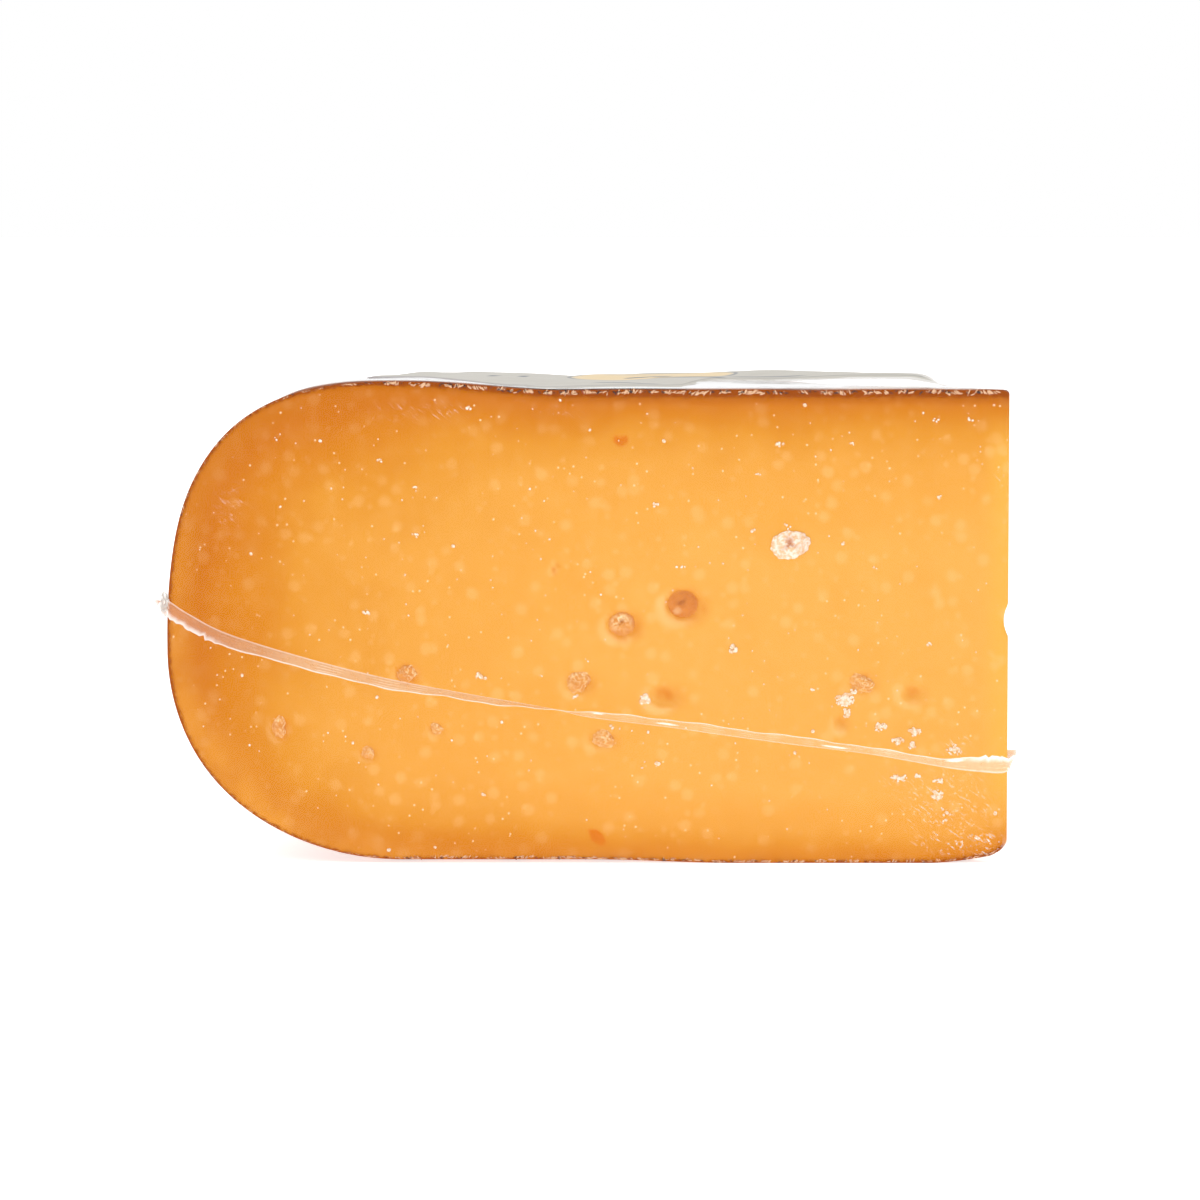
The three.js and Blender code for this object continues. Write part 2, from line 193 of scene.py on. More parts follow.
@contextmanager
def whole_mesh(piece: Piece) -> Iterator[None]:
    """Open a piece's whole mesh to the edit operators of a with block."""
    take_up(piece)
    bpy.ops.object.mode_set(mode="EDIT")
    bpy.ops.mesh.select_all(action="SELECT")
    yield
    bpy.ops.object.mode_set(mode="OBJECT")


def outward(piece: Piece) -> None:
    """Turn every face of a closed piece outwards."""
    with whole_mesh(piece):
        bpy.ops.mesh.normals_make_consistent(inside=False)


def apply_modifier(piece: Piece, kind: str, **settings: float | int | str | bool) -> None:
    """Add a modifier with its settings and apply it.

    Args:
        piece: The piece that takes the modifier.
        kind: Blender's name of the modifier.
        **settings: The modifier's properties.
    """
    take_up(piece)
    modifier = piece.modifiers.new(kind.title(), kind)
    for name, value in settings.items():
        setattr(modifier, name, value)
    bpy.ops.object.modifier_apply(modifier=modifier.name)


def add_ball(subdivisions: int, radius: float = 1.0) -> tuple[Piece, Array]:
    """Add a ball primitive, ready to be shaped, and give its vertices too."""
    deselect_all()
    bpy.ops.mesh.primitive_ico_sphere_add(subdivisions=subdivisions, radius=radius)
    return bpy.context.object, vertices_of(bpy.context.object)


def copy_of(shape: Piece, name: str) -> Piece:
    """Copy a piece into the scene, with a mesh of its own."""
    made = bpy.data.objects.new(name, shape.data.copy())
    bpy.context.scene.collection.objects.link(made)
    return made


def join(pieces: Sequence[Piece]) -> Piece:
    """Join small pieces of one kind.

    Args:
        pieces: The pieces, at least one.

    Returns:
        The one piece that now holds them all.
    """
    deselect_all()
    for piece in pieces:
        piece.select_set(True)
    bpy.context.view_layer.objects.active = pieces[0]
    bpy.ops.object.join()
    return bpy.context.object


def finish_piece(piece: Piece, name: str, material: Material, smooth_over: float) -> None:
    """Name a piece, dress it and let it ride with the object.

    Args:
        piece: The modelled piece.
        name: Its name in the scene and in the exported model.
        material: Its material.
        smooth_over: Edges that bend less than this many degrees are shaded smooth.
    """
    piece.name = name
    piece.data.name = name
    piece.data.materials.clear()
    piece.data.materials.append(material)
    take_up(piece)
    bpy.ops.object.shade_smooth_by_angle(angle=math.radians(smooth_over), keep_sharp_edges=False)
    deselect_all()
    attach(piece, BODY)
    LOG.info("%s: %d vertices, %d faces", name, len(piece.data.vertices), len(piece.data.polygons))


# ---- materials
@dataclass
class Shader:
    """One node material, built socket by socket."""

    name: str
    material: Material = field(init=False)

    def __post_init__(self) -> None:
        """Start from an empty sheet of nodes."""
        self.material = bpy.data.materials.new(self.name)
        self.material.use_nodes = True
        self.material.node_tree.nodes.clear()

    def node(
        self, kind: str, settings: dict[str, object] | None = None, *first: object, **named: object
    ) -> Node:
        """Add a node.

        Args:
            kind: The node's type in Blender.
            settings: The node's own properties.
            *first: What goes into its first inputs, in their order.
            **named: What goes into other inputs, by their names with _ for a space.

        Returns:
            The new node.
        """
        made = self.material.node_tree.nodes.new(kind)
        for name, value in (settings or {}).items():
            setattr(made, name, value)
        for socket, value in zip(made.inputs, first):
            self.feed(socket, value)
        for name, value in named.items():
            self.feed(made.inputs[name.replace("_", " ")], value)
        return made

    def feed(self, socket: Socket, value: object) -> None:
        """Link a socket to another, or set its value."""
        if isinstance(value, Socket):
            self.material.node_tree.links.new(value, socket)
        else:
            socket.default_value = value

    def math(self, operation: str, *values: object) -> Socket:
        """Combine numbers with one of Blender's math operations."""
        return self.node("ShaderNodeMath", {"operation": operation}, *values).outputs[0]

    def times(self, first: object, *factors: object) -> Socket:
        """Multiply numbers, from the first to the last."""
        for factor in factors:
            first = self.math("MULTIPLY", first, factor)
        return first

    def rise(self, value: object, low: float, high: float, first: float = 0.0, last: float = 1.0) -> Socket:
        """Go smoothly from first, where value is low, to last, where it is high."""
        settings = {"interpolation_type": "SMOOTHSTEP"}
        limits = {"From_Min": low, "From_Max": high, "To_Min": first, "To_Max": last}
        return self.node("ShaderNodeMapRange", settings, Value=value, **limits).outputs["Result"]

    def blend(self, share: object, under: object, over: object) -> Socket:
        """Lay one colour over another by a share between 0 and 1."""
        made = self.node("ShaderNodeMix", {"data_type": "RGBA"})
        for socket, value in ((made.inputs[0], share), (made.inputs[6], under), (made.inputs[7], over)):
            self.feed(socket, value)
        return made.outputs[2]

    def mixed(self, share: object, first: Node, second: Node) -> Node:
        """Mix two surfaces by the second one's share between 0 and 1."""
        return self.node("ShaderNodeMixShader", None, share, first.outputs[0], second.outputs[0])

    def stored(self, name: str) -> Socket:
        """Read a number that the piece keeps for each vertex."""
        return self.node("ShaderNodeAttribute", {"attribute_name": name}).outputs["Fac"]

    def place(self, stretch: tuple[float, float, float] = (1.0, 1.0, 1.0), turn: float = 0.0) -> Socket:
        """Give the place on the object, stretched along each axis and turned about Y by some degrees."""
        spot, spun = self.node("ShaderNodeTexCoord").outputs["Object"], (0.0, math.radians(turn), 0.0)
        settings = {"vector_type": "TEXTURE" if turn else "POINT"}
        return self.node("ShaderNodeMapping", settings, Vector=spot, Scale=stretch, Rotation=spun).outputs[0]

    def grain(
        self, size: float, detail: float = 2.0, place: Socket | None = None, output: str = "Fac"
    ) -> Socket:
        """Make noise whose lumps have a size in millimetres, with values from 0 to 1."""
        spot, scale = place or self.place(), 1.0 / (size * MM)
        return self.node("ShaderNodeTexNoise", Vector=spot, Scale=scale, Detail=detail).outputs[output]

    def cells(self, size: float, feature: str = "F1", place: Socket | None = None) -> Node:
        """Scatter cells of a size in millimetres, whose distance is 0 at each centre."""
        spot, scale = place or self.place(), 1.0 / (size * MM)
        return self.node("ShaderNodeTexVoronoi", {"feature": feature}, Vector=spot, Scale=scale)

    def bump(self, height: object, depth: float) -> Socket:
        """Turn a height between 0 and 1 into relief of a depth in millimetres."""
        return self.node("ShaderNodeBump", Height=height, Strength=1.0, Distance=depth * MM).outputs[0]

    def plain(
        self, colour: object, rough: object, bump: Socket, gloss: float = 0.5, alpha: object = 1.0
    ) -> Material:
        """Make a plain surface the material's own.

        Args:
            colour: Its colour.
            rough: Its roughness.
            bump: Its relief.
            gloss: How strongly it mirrors light.
            alpha: How well it covers what lies behind it.

        Returns:
            The material.
        """
        looks = {"Base_Color": colour, "Roughness": rough, "Specular_IOR_Level": gloss, "Alpha": alpha}
        return self.cover(self.node("ShaderNodeBsdfPrincipled", Normal=bump, **looks))

    def cover(self, surface: Node) -> Material:
        """Make a shader the material's surface and return the material."""
        self.node("ShaderNodeOutputMaterial", Surface=surface.outputs[0])
        return self.material


# ---- the wheel
@dataclass(frozen=True)
class Wheel:
    """The wheel that the wedge was cut from, and the air that its film trapped. Millimetres and degrees."""

    radius: float = 186.45
    widest_height: float = 46.7
    shoulder_height: float = 105.6
    top_shoulder: float = 52.0
    foot_shoulder: float = 51.5
    top_roundness: float = 2.8
    foot_roundness: float = 2.06
    top_dish: float = 1.8
    dished_radius: float = 100.0
    shoulder_sag: float = 1.9
    dent_depth: float = 0.28
    cut_angle: float = 35.0
    tip_radius: float = 1.2
    tip_foot_corner: float = 4.2
    tip_top_corner: float = 1.9
    tip_chip_length: float = 17.0
    tip_chip_height: float = 2.4
    notch_up: float = 53.4
    notch_high: float = 7.0
    notch_deep: float = 0.95
    notch_reach: float = 6.0
    front_lift: float = 0.8
    front_lift_from: float = 62.0
    front_lift_to: float = 94.0
    front_lift_depth: float = 9.0
    front_lift_height: float = 27.0
    tent_high: float = 3.3
    tent_start: float = 12.0
    tent_crest: float = 23.0
    tent_end: float = 110.0
    tent_seam: float = 2.6

    @property
    def turn(self) -> float:
        """The angle between the two cuts, in radians."""
        return math.radians(self.cut_angle)

    @property
    def tip_centre(self) -> float:
        """How far the middle of the blunt tip's round lies from the wheel's axis."""
        return self.tip_radius / math.sin(self.turn / 2)

    @property
    def setback(self) -> float:
        """How far the tip's end lies from the wheel's axis, along the front cut."""
        return self.tip_centre * math.cos(self.turn / 2) - self.tip_radius

    @property
    def first_radius(self) -> float:
        """Where the flat cuts begin behind the blunt tip."""
        return self.tip_radius / math.tan(self.turn / 2)

    @staticmethod
    def corner_drop(from_tip: Array, radius: float) -> Array:
        """How far a round corner falls away at a distance from the tip's end."""
        inside = np.clip(np.asarray(from_tip, float), 0.0, radius)
        return radius - np.sqrt(radius**2 - (radius - inside) ** 2)

    def top(self, radius: Array) -> Array:
        """The even top face's height at a radius."""
        dish = self.top_dish * fall(radius, self.dished_radius, self.radius - self.top_shoulder)
        return self.shoulder_height - dish - self.corner_drop(radius - self.setback, self.tip_top_corner)

    def foot(self, radius: Array) -> Array:
        """The underside's height at a radius."""
        from_tip = np.asarray(radius, float) - self.setback
        chip = self.tip_chip_height * np.clip(1.0 - from_tip / self.tip_chip_length, 0.0, None) ** 1.6
        return chip + self.corner_drop(from_tip, self.tip_foot_corner)

    def quarter(self, reach: float, rise: float, roundness: float, first: float, last: float) -> Array:
        """Follow a quarter of the rim's curve.

        Args:
            reach: From the widest line in to the flat face.
            rise: From the widest line to the flat face's height, negative below it.
            roundness: The power of the curve.
            first: Where to start, 0 at the flat face and 1 at the widest line.
            last: Where to stop, on the same scale.

        Returns:
            Radii and heights, one row a point.
        """
        bend = np.linspace(first, last, 160) * math.pi / 2
        out = reach * np.sin(bend) ** (2 / roundness)
        up = rise * np.clip(np.cos(bend), 0.0, 1.0) ** (2 / roundness)
        return np.column_stack([self.radius - reach + out, self.widest_height + up])

    def outline(self) -> dict[str, Array]:
        """Draw the front cut's outline as four lines that meet at its corners.

        Returns:
            Each line's radii and heights, one row a point, under the names foot, rim, top and tip.
        """
        low, high = -self.widest_height, self.shoulder_height - self.widest_height
        foot_radii = np.linspace(self.first_radius, self.radius - self.foot_shoulder, 600)
        top_radii = np.linspace(self.first_radius, self.radius - self.top_shoulder, 600)
        foot = np.column_stack([foot_radii, self.foot(foot_radii)])
        top = np.column_stack([top_radii, self.top(top_radii)])
        lower = (self.foot_shoulder, low, self.foot_roundness)
        upper = (self.top_shoulder, high, self.top_roundness)
        return {
            "foot": np.vstack([foot, self.quarter(*lower, 0.0, 0.5)[1:]]),
            "rim": np.vstack([self.quarter(*lower, 0.5, 1.0), self.quarter(*upper, 1.0, 0.5)[1:]]),
            "top": np.vstack([top, self.quarter(*upper, 0.0, 0.5)[1:]]),
            "tip": np.array([foot[0], top[0]]),
        }

    def rim_radius(self, up: Array) -> Array:
        """Follow the rim's curve.

        Args:
            up: Heights.

        Returns:
            The rim's distance from the axis at each.
        """
        above = up > self.widest_height
        rise = np.where(
            above,
            (up - self.widest_height) / (self.shoulder_height - self.widest_height),
            1.0 - up / self.widest_height,
        )
        power = np.where(above, self.top_roundness, self.foot_roundness)
        bend = (1.0 - np.clip(rise, 0.0, 1.0) ** power) ** (1.0 / power)
        return self.radius - np.where(above, self.top_shoulder, self.foot_shoulder) * (1.0 - bend)

    def on_cuts(self, turn: Array) -> tuple[Array, Array]:
        """Tell which vertices lie on the front cut and which on the back cut, by their turn."""
        return turn < NEAR_CUT, turn > self.turn - NEAR_CUT

    def dents(self, places: Array) -> Array:
        """Soft dents in the rind, shallower at the front cut."""
        x, y, z = places.T
        broad = np.sin(x / 9.5 + 1.3 * np.sin(y / 14)) * np.sin(y / 8 + z / 10.5)
        fine = 0.6 * np.sin(x / 4.7 + z / 5.2 + y / 6.1)
        return self.dent_depth * (broad + fine) * (0.25 + 0.75 * smooth(y, 0.0, 15.0))

    def tent(self, radius: Array, turn: Array) -> Array:
        """Follow the film over the trapped air.

        Args:
            radius: The places' distances from the axis.
            turn: Their turns from the front cut.

        Returns:
            How far the film stands off the top face at each place.
        """
        along = radius - self.setback
        ebb = np.clip((self.tent_end - along) / (self.tent_end - self.tent_crest), 0.0, 1.0) ** 0.65
        share = np.clip(turn / self.turn, 0.0, 1.0) ** 0.8
        from_back = radius * np.sin(self.turn - turn)
        risen = self.tent_high * smooth(along, self.tent_start, self.tent_crest) * ebb * share
        return risen * smooth(from_back, 0.0, self.tent_seam)

    def settle(self, places: Array, with_air: bool) -> Array:
        """Take the even wheel's points to the real one's: dented, sagging, chipped and lifted.

        Args:
            places: Points about the wheel's axis, one row each.
            with_air: Whether the top follows the film over the trapped air.

        Returns:
            The moved points.
        """
        x, y, z = places.T
        radius, turn = polar(places)
        upper = smooth(z, self.widest_height, self.shoulder_height - 8.0)
        rim = smooth(radius, self.radius - self.foot_shoulder, self.radius - 14.0)
        dents = self.dents(places)
        relief = dents * smooth(radius, self.setback + 4.0, self.setback + 12.0)
        shoulder = smooth(radius, self.dished_radius, self.radius - self.top_shoulder)
        relief -= self.shoulder_sag * shoulder * smooth(turn, 0.0, self.turn)
        if with_air:
            relief += self.tent(radius, turn)
        at_front = fall(y, 0.0, self.front_lift_depth)
        low_front = at_front * fall(z, 0.0, self.front_lift_height)
        lift = self.front_lift * smooth(radius, self.front_lift_from, self.front_lift_to) * low_front
        out = 1.0 + dents * rim / self.radius
        half = self.notch_high / 2
        notch = self.notch_deep * np.clip(1.0 - ((z - self.notch_up) / half) ** 2, 0.0, None)
        inward = notch * fall(radius - self.setback, 0.0, self.notch_reach)
        return np.column_stack([x * out - inward, y * out, z + lift + relief * upper * (1.0 - rim)])

    def blunt(self, places: Array) -> Array:
        """Wrap the tip's straight end round its small radius.

        Args:
            places: Points about the wheel's axis, one row each.

        Returns:
            The same points, with those at the tip's end moved.
        """
        radius, turn = polar(places)
        at_end = radius < self.first_radius + NEAR_TIP
        bend = turn / self.turn * (math.pi - self.turn) - math.pi / 2
        round_x = -self.tip_centre * math.cos(self.turn / 2) + self.tip_radius * np.cos(bend)
        round_y = self.tip_centre * math.sin(self.turn / 2) + self.tip_radius * np.sin(bend)
        new_radius, end = np.hypot(round_x, round_y), np.array([self.first_radius])
        share = (places[:, 2] - self.foot(end)) / (self.top(end) - self.foot(end))
        new_low, new_high = self.foot(new_radius), self.top(new_radius)
        wrapped = np.column_stack([round_x, round_y, new_low + share * (new_high - new_low)])
        return np.where(at_end[:, None], wrapped, places)


@dataclass(frozen=True)
class Seat:
    """Where the wheel's axis and the front cut lie in the frame. Millimetres."""

    wheel: Wheel
    tip_x: float
    front_y: float

    @classmethod
    def from_frame(cls, wheel: Wheel, proudest: float) -> Seat:
        """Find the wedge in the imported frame, whose front cut carries crystals that stand proud."""
        low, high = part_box(CHEESE_NODE)
        return cls(wheel, high.x / MM, low.y / MM + proudest)

    def from_axis(self, places: Array) -> Array:
        """Take points about the wheel's axis, in millimetres, to the scene."""
        shift = np.array([self.tip_x + self.wheel.setback, self.front_y, 0.0])
        return (places + shift) * MM

    def on_front(self, along: Array, up: Array, proud: Array | float = 0.0) -> Array:
        """Take places on the front cut, some millimetres proud of it, to points about the axis."""
        along, up = np.atleast_1d(along), np.atleast_1d(up)
        return np.column_stack([-along - self.wheel.setback, -np.ones(len(along)) * proud, up])

    def on_back(self, along: Array, up: Array, proud: Array | float = 0.0) -> Array:
        """Take places on the back cut to points about the axis.

        Args:
            along: Their distances from the tip.
            up: Their heights.
            proud: How far they stand proud of the cut.

        Returns:
            The points, one row each.
        """
        along, up = np.atleast_1d(along), np.atleast_1d(up)
        radius, turn = along + self.wheel.setback, self.wheel.turn
        x = -radius * math.cos(turn) + proud * math.sin(turn)
        y = radius * math.sin(turn) + proud * math.cos(turn)
        return np.column_stack([x, y, up])


@dataclass
class SpunWedge:
    """A closed wedge: the front cut's outline, filled with a fine net and spun round the wheel's axis."""

    wheel: Wheel
    columns: int
    rows: int
    steps: int

    def net(self, along: Array, up: Array) -> Array:
        """Fill the outline.

        Args:
            along: Each vertex's share of the way from the tip to the rim.
            up: Each vertex's share of the way from the foot to the top.

        Returns:
            Radii and heights, one row a vertex.
        """
        lines = self.wheel.outline()
        column = np.rint(along * (self.columns - 1)).astype(int)
        row = np.rint(up * (self.rows - 1)).astype(int)
        foot, top = (along_line(lines[name], self.columns)[column] for name in ("foot", "top"))
        tip, rim = (along_line(lines[name], self.rows)[row] for name in ("tip", "rim"))
        u, v = along[:, None], up[:, None]
        corners = [lines["foot"][0], lines["foot"][-1], lines["top"][0], lines["top"][-1]]
        foot_side, top_side = ((1 - u) * corners[at] + u * corners[at + 1] for at in (0, 2))
        bilinear = (1 - v) * foot_side + v * top_side
        return (1 - v) * foot + v * top + (1 - u) * tip + u * rim - bilinear

    def build(self, with_air: bool) -> tuple[Piece, Array]:
        """Model the wedge about the wheel's axis.

        Args:
            with_air: Whether its top follows the film over the trapped air.

        Returns:
            The closed piece, in millimetres about the axis, and its vertices before the wheel settled.
        """
        piece, along, up = add_grid(self.columns, self.rows)
        drawn = self.net(along, up)
        move_vertices(piece, np.column_stack([-drawn[:, 0], np.zeros(len(drawn)), drawn[:, 1]]))
        with whole_mesh(piece):
            centre, axis = (0.0, 0.0, 0.0), (0.0, 0.0, 1.0)
            bpy.ops.mesh.spin(steps=self.steps, angle=self.wheel.turn, center=centre, axis=axis)
            bpy.ops.mesh.select_all(action="SELECT")
            bpy.ops.mesh.normals_make_consistent(inside=False)
        even = self.wheel.blunt(vertices_of(piece))
        move_vertices(piece, self.wheel.settle(even, with_air))
        return piece, even

    def rind_depth(self, even: Array) -> Array:
        """Measure how deep each vertex of the two cuts lies under the rind.

        Args:
            even: The vertices before the wheel settled.

        Returns:
            Millimetres to the nearest rind, 0 on the rind itself.
        """
        radius, turn = polar(even)
        front, back = self.wheel.on_cuts(turn)
        cut = front | back | (radius < self.wheel.first_radius + NEAR_TIP)
        lines = self.wheel.outline()
        rind = np.vstack([along_line(lines[name], 260) for name in ("foot", "rim", "top")])
        spots = np.column_stack([radius, even[:, 2]])[cut]
        depth = np.zeros(len(even))
        depth[cut] = np.concatenate([gaps.min(1) for gaps in gaps_between(spots, rind)])
        return depth


# ---- the cheese
class EyeKind(Enum):
    """What an eye in the paste holds."""

    DOME = "a brown nodule that fills it"
    CROWN = "a nodule with a pale, crumbling crown"
    LATTICE = "a flat nodule under pale lines of salt"
    SOFT = "a stain with no nodule"
    HOLE = "nothing"

    @property
    def fade(self) -> tuple[float, float]:
        """Where the eye's stain starts and stops to fade, 1 at the eye's edge."""
        return (0.1, 1.1) if self is EyeKind.SOFT else (0.85, 1.1)

    @property
    def shadow(self) -> float:
        """How much the paste round the eye is shaded."""
        return {EyeKind.HOLE: 0.0, EyeKind.SOFT: 0.35, EyeKind.LATTICE: 0.6}.get(self, 1.0)


DOME, CROWN, LATTICE, SOFT, HOLE = EyeKind


@dataclass(frozen=True)
class Eye:
    """One eye on a cut: its place, its size, how deep it is and what it holds. Millimetres and degrees."""

    along: float
    up: float
    wide: float
    high: float
    deep: float
    kind: EyeKind
    lean: float = 0.0
    # How strongly the eye is coloured, with its painted shadow and its painted highlight.
    stain: float = 1.0

    def reach(self, along: Array, up: Array) -> Array:
        """Measure places from the eye's middle: 1 is on its edge."""
        across, over = turned(along - self.along, up - self.up, -math.radians(self.lean))
        return np.hypot(across / (self.wide / 2), over / (self.high / 2))

    def hollow(self, along: Array, up: Array) -> Array:
        """Measure how deep the paste is sunk, in millimetres, least in a bare hole."""
        share = 0.3 if self.kind is HOLE else 0.65
        return share * self.deep * np.clip(1.0 - self.reach(along, up) ** 2, 0.0, None) ** 0.8

    def shading(self, along: Array, up: Array) -> tuple[Array, Array]:
        """Shade the eye as light from above the rim's end does.

        Args:
            along: The places' distances from the tip.
            up: Their heights.

        Returns:
            How dark each place is, in the eye and below it, and how pale, on its far lip.
        """
        reach, shadow = self.reach(along, up), self.kind.shadow
        below = self.reach(along + 0.13 * self.wide, up + 0.1 * self.high)
        beyond = self.reach(along - 0.2 * self.wide, up + 0.2 * self.high)
        strong = 1.25 if self.kind is HOLE else 0.8
        shade = 0.7 * fall(below, 0.6, 1.6) * shadow
        dark = self.stain * np.maximum(shade, strong * fall(reach, *self.kind.fade))
        lip = smooth(reach, 1.0, 1.2) * fall(beyond, 0.9, 1.5)
        glow = 1.0 if self.kind is SOFT else 0.85 * shadow
        return dark, self.stain * glow * lip


FRONT_EYES = (
    Eye(71.2, 57.0, 7.5, 6.6, 1.9, DOME),
    Eye(84.5, 52.6, 6.6, 5.9, 1.5, CROWN, stain=0.8),
    Eye(93.9, 39.9, 5.9, 4.8, 1.1, LATTICE, stain=0.7),
    Eye(75.1, 37.0, 6.8, 5.3, 1.0, SOFT),
    Eye(88.7, 27.4, 5.9, 3.9, 0.9, LATTICE, stain=0.6),
    Eye(32.0, 39.7, 5.5, 4.6, 0.9, LATTICE, stain=0.6),
    Eye(36.6, 30.9, 3.3, 3.7, 0.8, SOFT, stain=0.6),
    Eye(20.8, 37.5, 5.3, 4.4, 0.8, SOFT, stain=0.7),
    Eye(131.7, 41.7, 4.6, 4.4, 0.9, LATTICE, stain=0.9),
    Eye(159.4, 30.0, 3.5, 4.8, 1.0, LATTICE, stain=0.9),
    Eye(140.1, 24.3, 3.2, 3.0, 0.8, LATTICE, stain=0.7),
    Eye(125.2, 29.6, 3.1, 2.6, 0.8, LATTICE, stain=0.6),
    Eye(84.7, 92.9, 3.1, 2.3, 1.2, HOLE),
    Eye(90.0, 5.0, 4.5, 2.5, 1.0, HOLE, lean=48.0),
    Eye(99.0, 64.7, 0.8, 2.3, 0.4, HOLE, lean=28.0, stain=0.8),
)
BACK_EYES = (
    Eye(34.6, 48.8, 3.3, 2.8, 0.7, LATTICE, stain=0.8),
    Eye(100.3, 74.0, 5.4, 5.3, 1.2, DOME),
    Eye(121.4, 68.8, 5.2, 4.5, 1.1, CROWN, stain=0.8),
    Eye(147.3, 52.1, 3.0, 2.9, 0.7, SOFT),
    Eye(105.7, 39.9, 5.7, 4.8, 1.3, DOME),
    Eye(35.8, 74.3, 3.7, 3.6, 0.8, LATTICE, stain=0.6),
    Eye(87.3, 25.3, 5.0, 3.9, 1.1, LATTICE, stain=0.7),
    Eye(141.4, 64.1, 6.4, 6.3, 1.4, CROWN),
    Eye(41.9, 22.0, 3.0, 2.5, 0.7, HOLE),
    Eye(127.1, 28.4, 5.4, 4.6, 1.2, SOFT),
)


@dataclass(frozen=True)
class SpotLayer:
    """A layer of round crystals in the paste: their spacing in millimetres, and the rest as shares."""

    apart: float
    radius: float
    strength: float
    sparse: float


@dataclass(frozen=True)
class PasteFinish:
    """The finish of the cut paste and the rind round it. Colours are as on screen, sizes in millimetres."""

    ageing: tuple[tuple[float, Colour], ...] = (
        (0.00, hue(181, 101, 4)),
        (0.07, hue(188, 106, 14)),
        (0.14, hue(196, 118, 18)),
        (0.26, hue(207, 136, 38)),
        (0.42, hue(215, 148, 56)),
        (0.66, hue(219, 153, 62)),
        (1.00, hue(220, 159, 71)),
    )
    # Painted light: the thin tip lit through, lighter and more yellow.
    tip_glow: Colour = hue(222, 166, 66)
    rim_glow: Colour = hue(210, 138, 46)
    # Pale crystal spots, also laid as the painted highlight below the eyes.
    spot: Colour = hue(238, 196, 136)
    fleck: Colour = hue(236, 206, 160)
    # The eyes' own colour, also laid on the paste below them as painted shadow.
    stain: Colour = hue(204, 114, 20)
    rind_light: Colour = hue(172, 96, 38)
    rind_dark: Colour = hue(126, 62, 22)
    crust: Colour = hue(142, 66, 2)
    thin_crust: Colour = hue(158, 78, 6)
    under_crust: Colour = hue(170, 92, 4)
    spot_layers: tuple[SpotLayer, ...] = (SpotLayer(4.9, 0.38, 0.18, 0.05), SpotLayer(3.3, 0.28, 0.14, 0.35))
    spot_stretch: tuple[float, float, float] = (1.0, 0.4, 1.0)
    fleck_apart: float = 2.1
    ageing_waver: float = 13.0
    glow_patches: float = 8.0
    stain_blotches: float = 2.0
    rind_mottle: float = 9.0
    rind_veins: float = 6.5
    relief: float = 0.22
    gloss: float = 0.05
    paste_roughness: float = 0.48
    rind_roughness: float = 0.36

    def ageing_ramp(self, shader: Shader, share: Socket) -> Socket:
        """Colour the paste by how far it lies under the rind.

        Args:
            shader: The material.
            share: That depth, 0 at the rind and 1 in the core.

        Returns:
            The colour.
        """
        ramp = shader.node("ShaderNodeValToRGB", Fac=share)
        stops = ramp.color_ramp.elements
        for place, colour in self.ageing[1:-1]:
            stops.new(place).color = colour
        stops[0].color, stops[-1].color = self.ageing[0][1], self.ageing[-1][1]
        return ramp.outputs["Color"]

    def build(self) -> Material:
        """Make the material."""
        shader = Shader("aged_paste_and_rind")
        aged = shader.stored("ageing")
        waver = shader.math("MULTIPLY_ADD", shader.grain(self.ageing_waver, 4.0), 0.9, -0.45)
        paste = self.ageing_ramp(shader, shader.math("ADD", aged, shader.times(waver, aged)))
        # Painted light shining through the thin tip.
        paste = shader.blend(shader.stored("tip_glow"), paste, self.tip_glow)
        patchy = shader.rise(shader.grain(self.glow_patches, 3.0), 0.34, 0.6, 0.6, 1.0)
        paste = shader.blend(shader.times(shader.stored("rim_glow"), patchy), paste, self.rim_glow)
        paste = self.with_spots(shader, paste)
        # Painted highlight on the lip of paste below each eye, away from the tip.
        paste = shader.blend(shader.times(shader.stored("pale"), 0.45), paste, self.spot)
        # The eyes' own colour in them, and painted shadow on the paste below them, towards the tip.
        blotch = shader.rise(shader.grain(self.stain_blotches, 3.0), 0.3, 0.62, 0.45, 1.0)
        paste = shader.blend(shader.times(shader.stored("stain"), blotch), paste, self.stain)
        surface, rough, height = self.with_rind(shader, paste)
        return shader.plain(surface, rough, shader.bump(height, self.relief), self.gloss)

    def with_spots(self, shader: Shader, paste: Socket) -> Socket:
        """Scatter soft round crystals, faint clouds and fine flecks through the paste.

        Args:
            shader: The material.
            paste: The paste's colour.

        Returns:
            The spotted colour.
        """
        flat = self.warped(shader, 2.2, 0.5, self.spot_stretch)
        clear = shader.rise(shader.stored("ageing"), 0.05, 0.45, 0.5, 1.0)
        for layer in self.spot_layers:
            cells = shader.cells(layer.apart, place=flat)
            chosen = shader.times(shader.rise(cells.outputs["Color"], layer.sparse, 0.85), clear)
            disc = shader.rise(cells.outputs["Distance"], layer.radius, layer.radius * 0.4)
            paste = shader.blend(shader.times(disc, chosen, layer.strength), paste, self.spot)
        cloud = shader.rise(shader.grain(3.4, 3.0), 0.42, 0.8)
        paste = shader.blend(shader.times(cloud, 0.05), paste, self.spot)
        fleck = shader.rise(shader.cells(self.fleck_apart).outputs["Distance"], 0.14, 0.07)
        thin = shader.rise(shader.grain(9.0), 0.46, 0.6)
        return shader.blend(shader.times(fleck, thin, 0.8), paste, self.fleck)

    @staticmethod
    def warped(
        shader: Shader, size: float, amount: float, stretch: tuple[float, float, float] = (1.0, 1.0, 1.0)
    ) -> Socket:
        """Push the place on the object about.

        Args:
            shader: The material.
            size: The size of the noise that pushes it, in millimetres.
            amount: How far it is pushed, in millimetres.
            stretch: How it is stretched along each axis first.

        Returns:
            The pushed place.
        """
        place = shader.place(stretch)
        swirl = shader.grain(size, 1.0, place, "Color")
        push = shader.node("ShaderNodeVectorMath", {"operation": "SCALE"}, swirl, Scale=amount * MM)
        return shader.node("ShaderNodeVectorMath", {"operation": "ADD"}, place, push.outputs[0]).outputs[0]

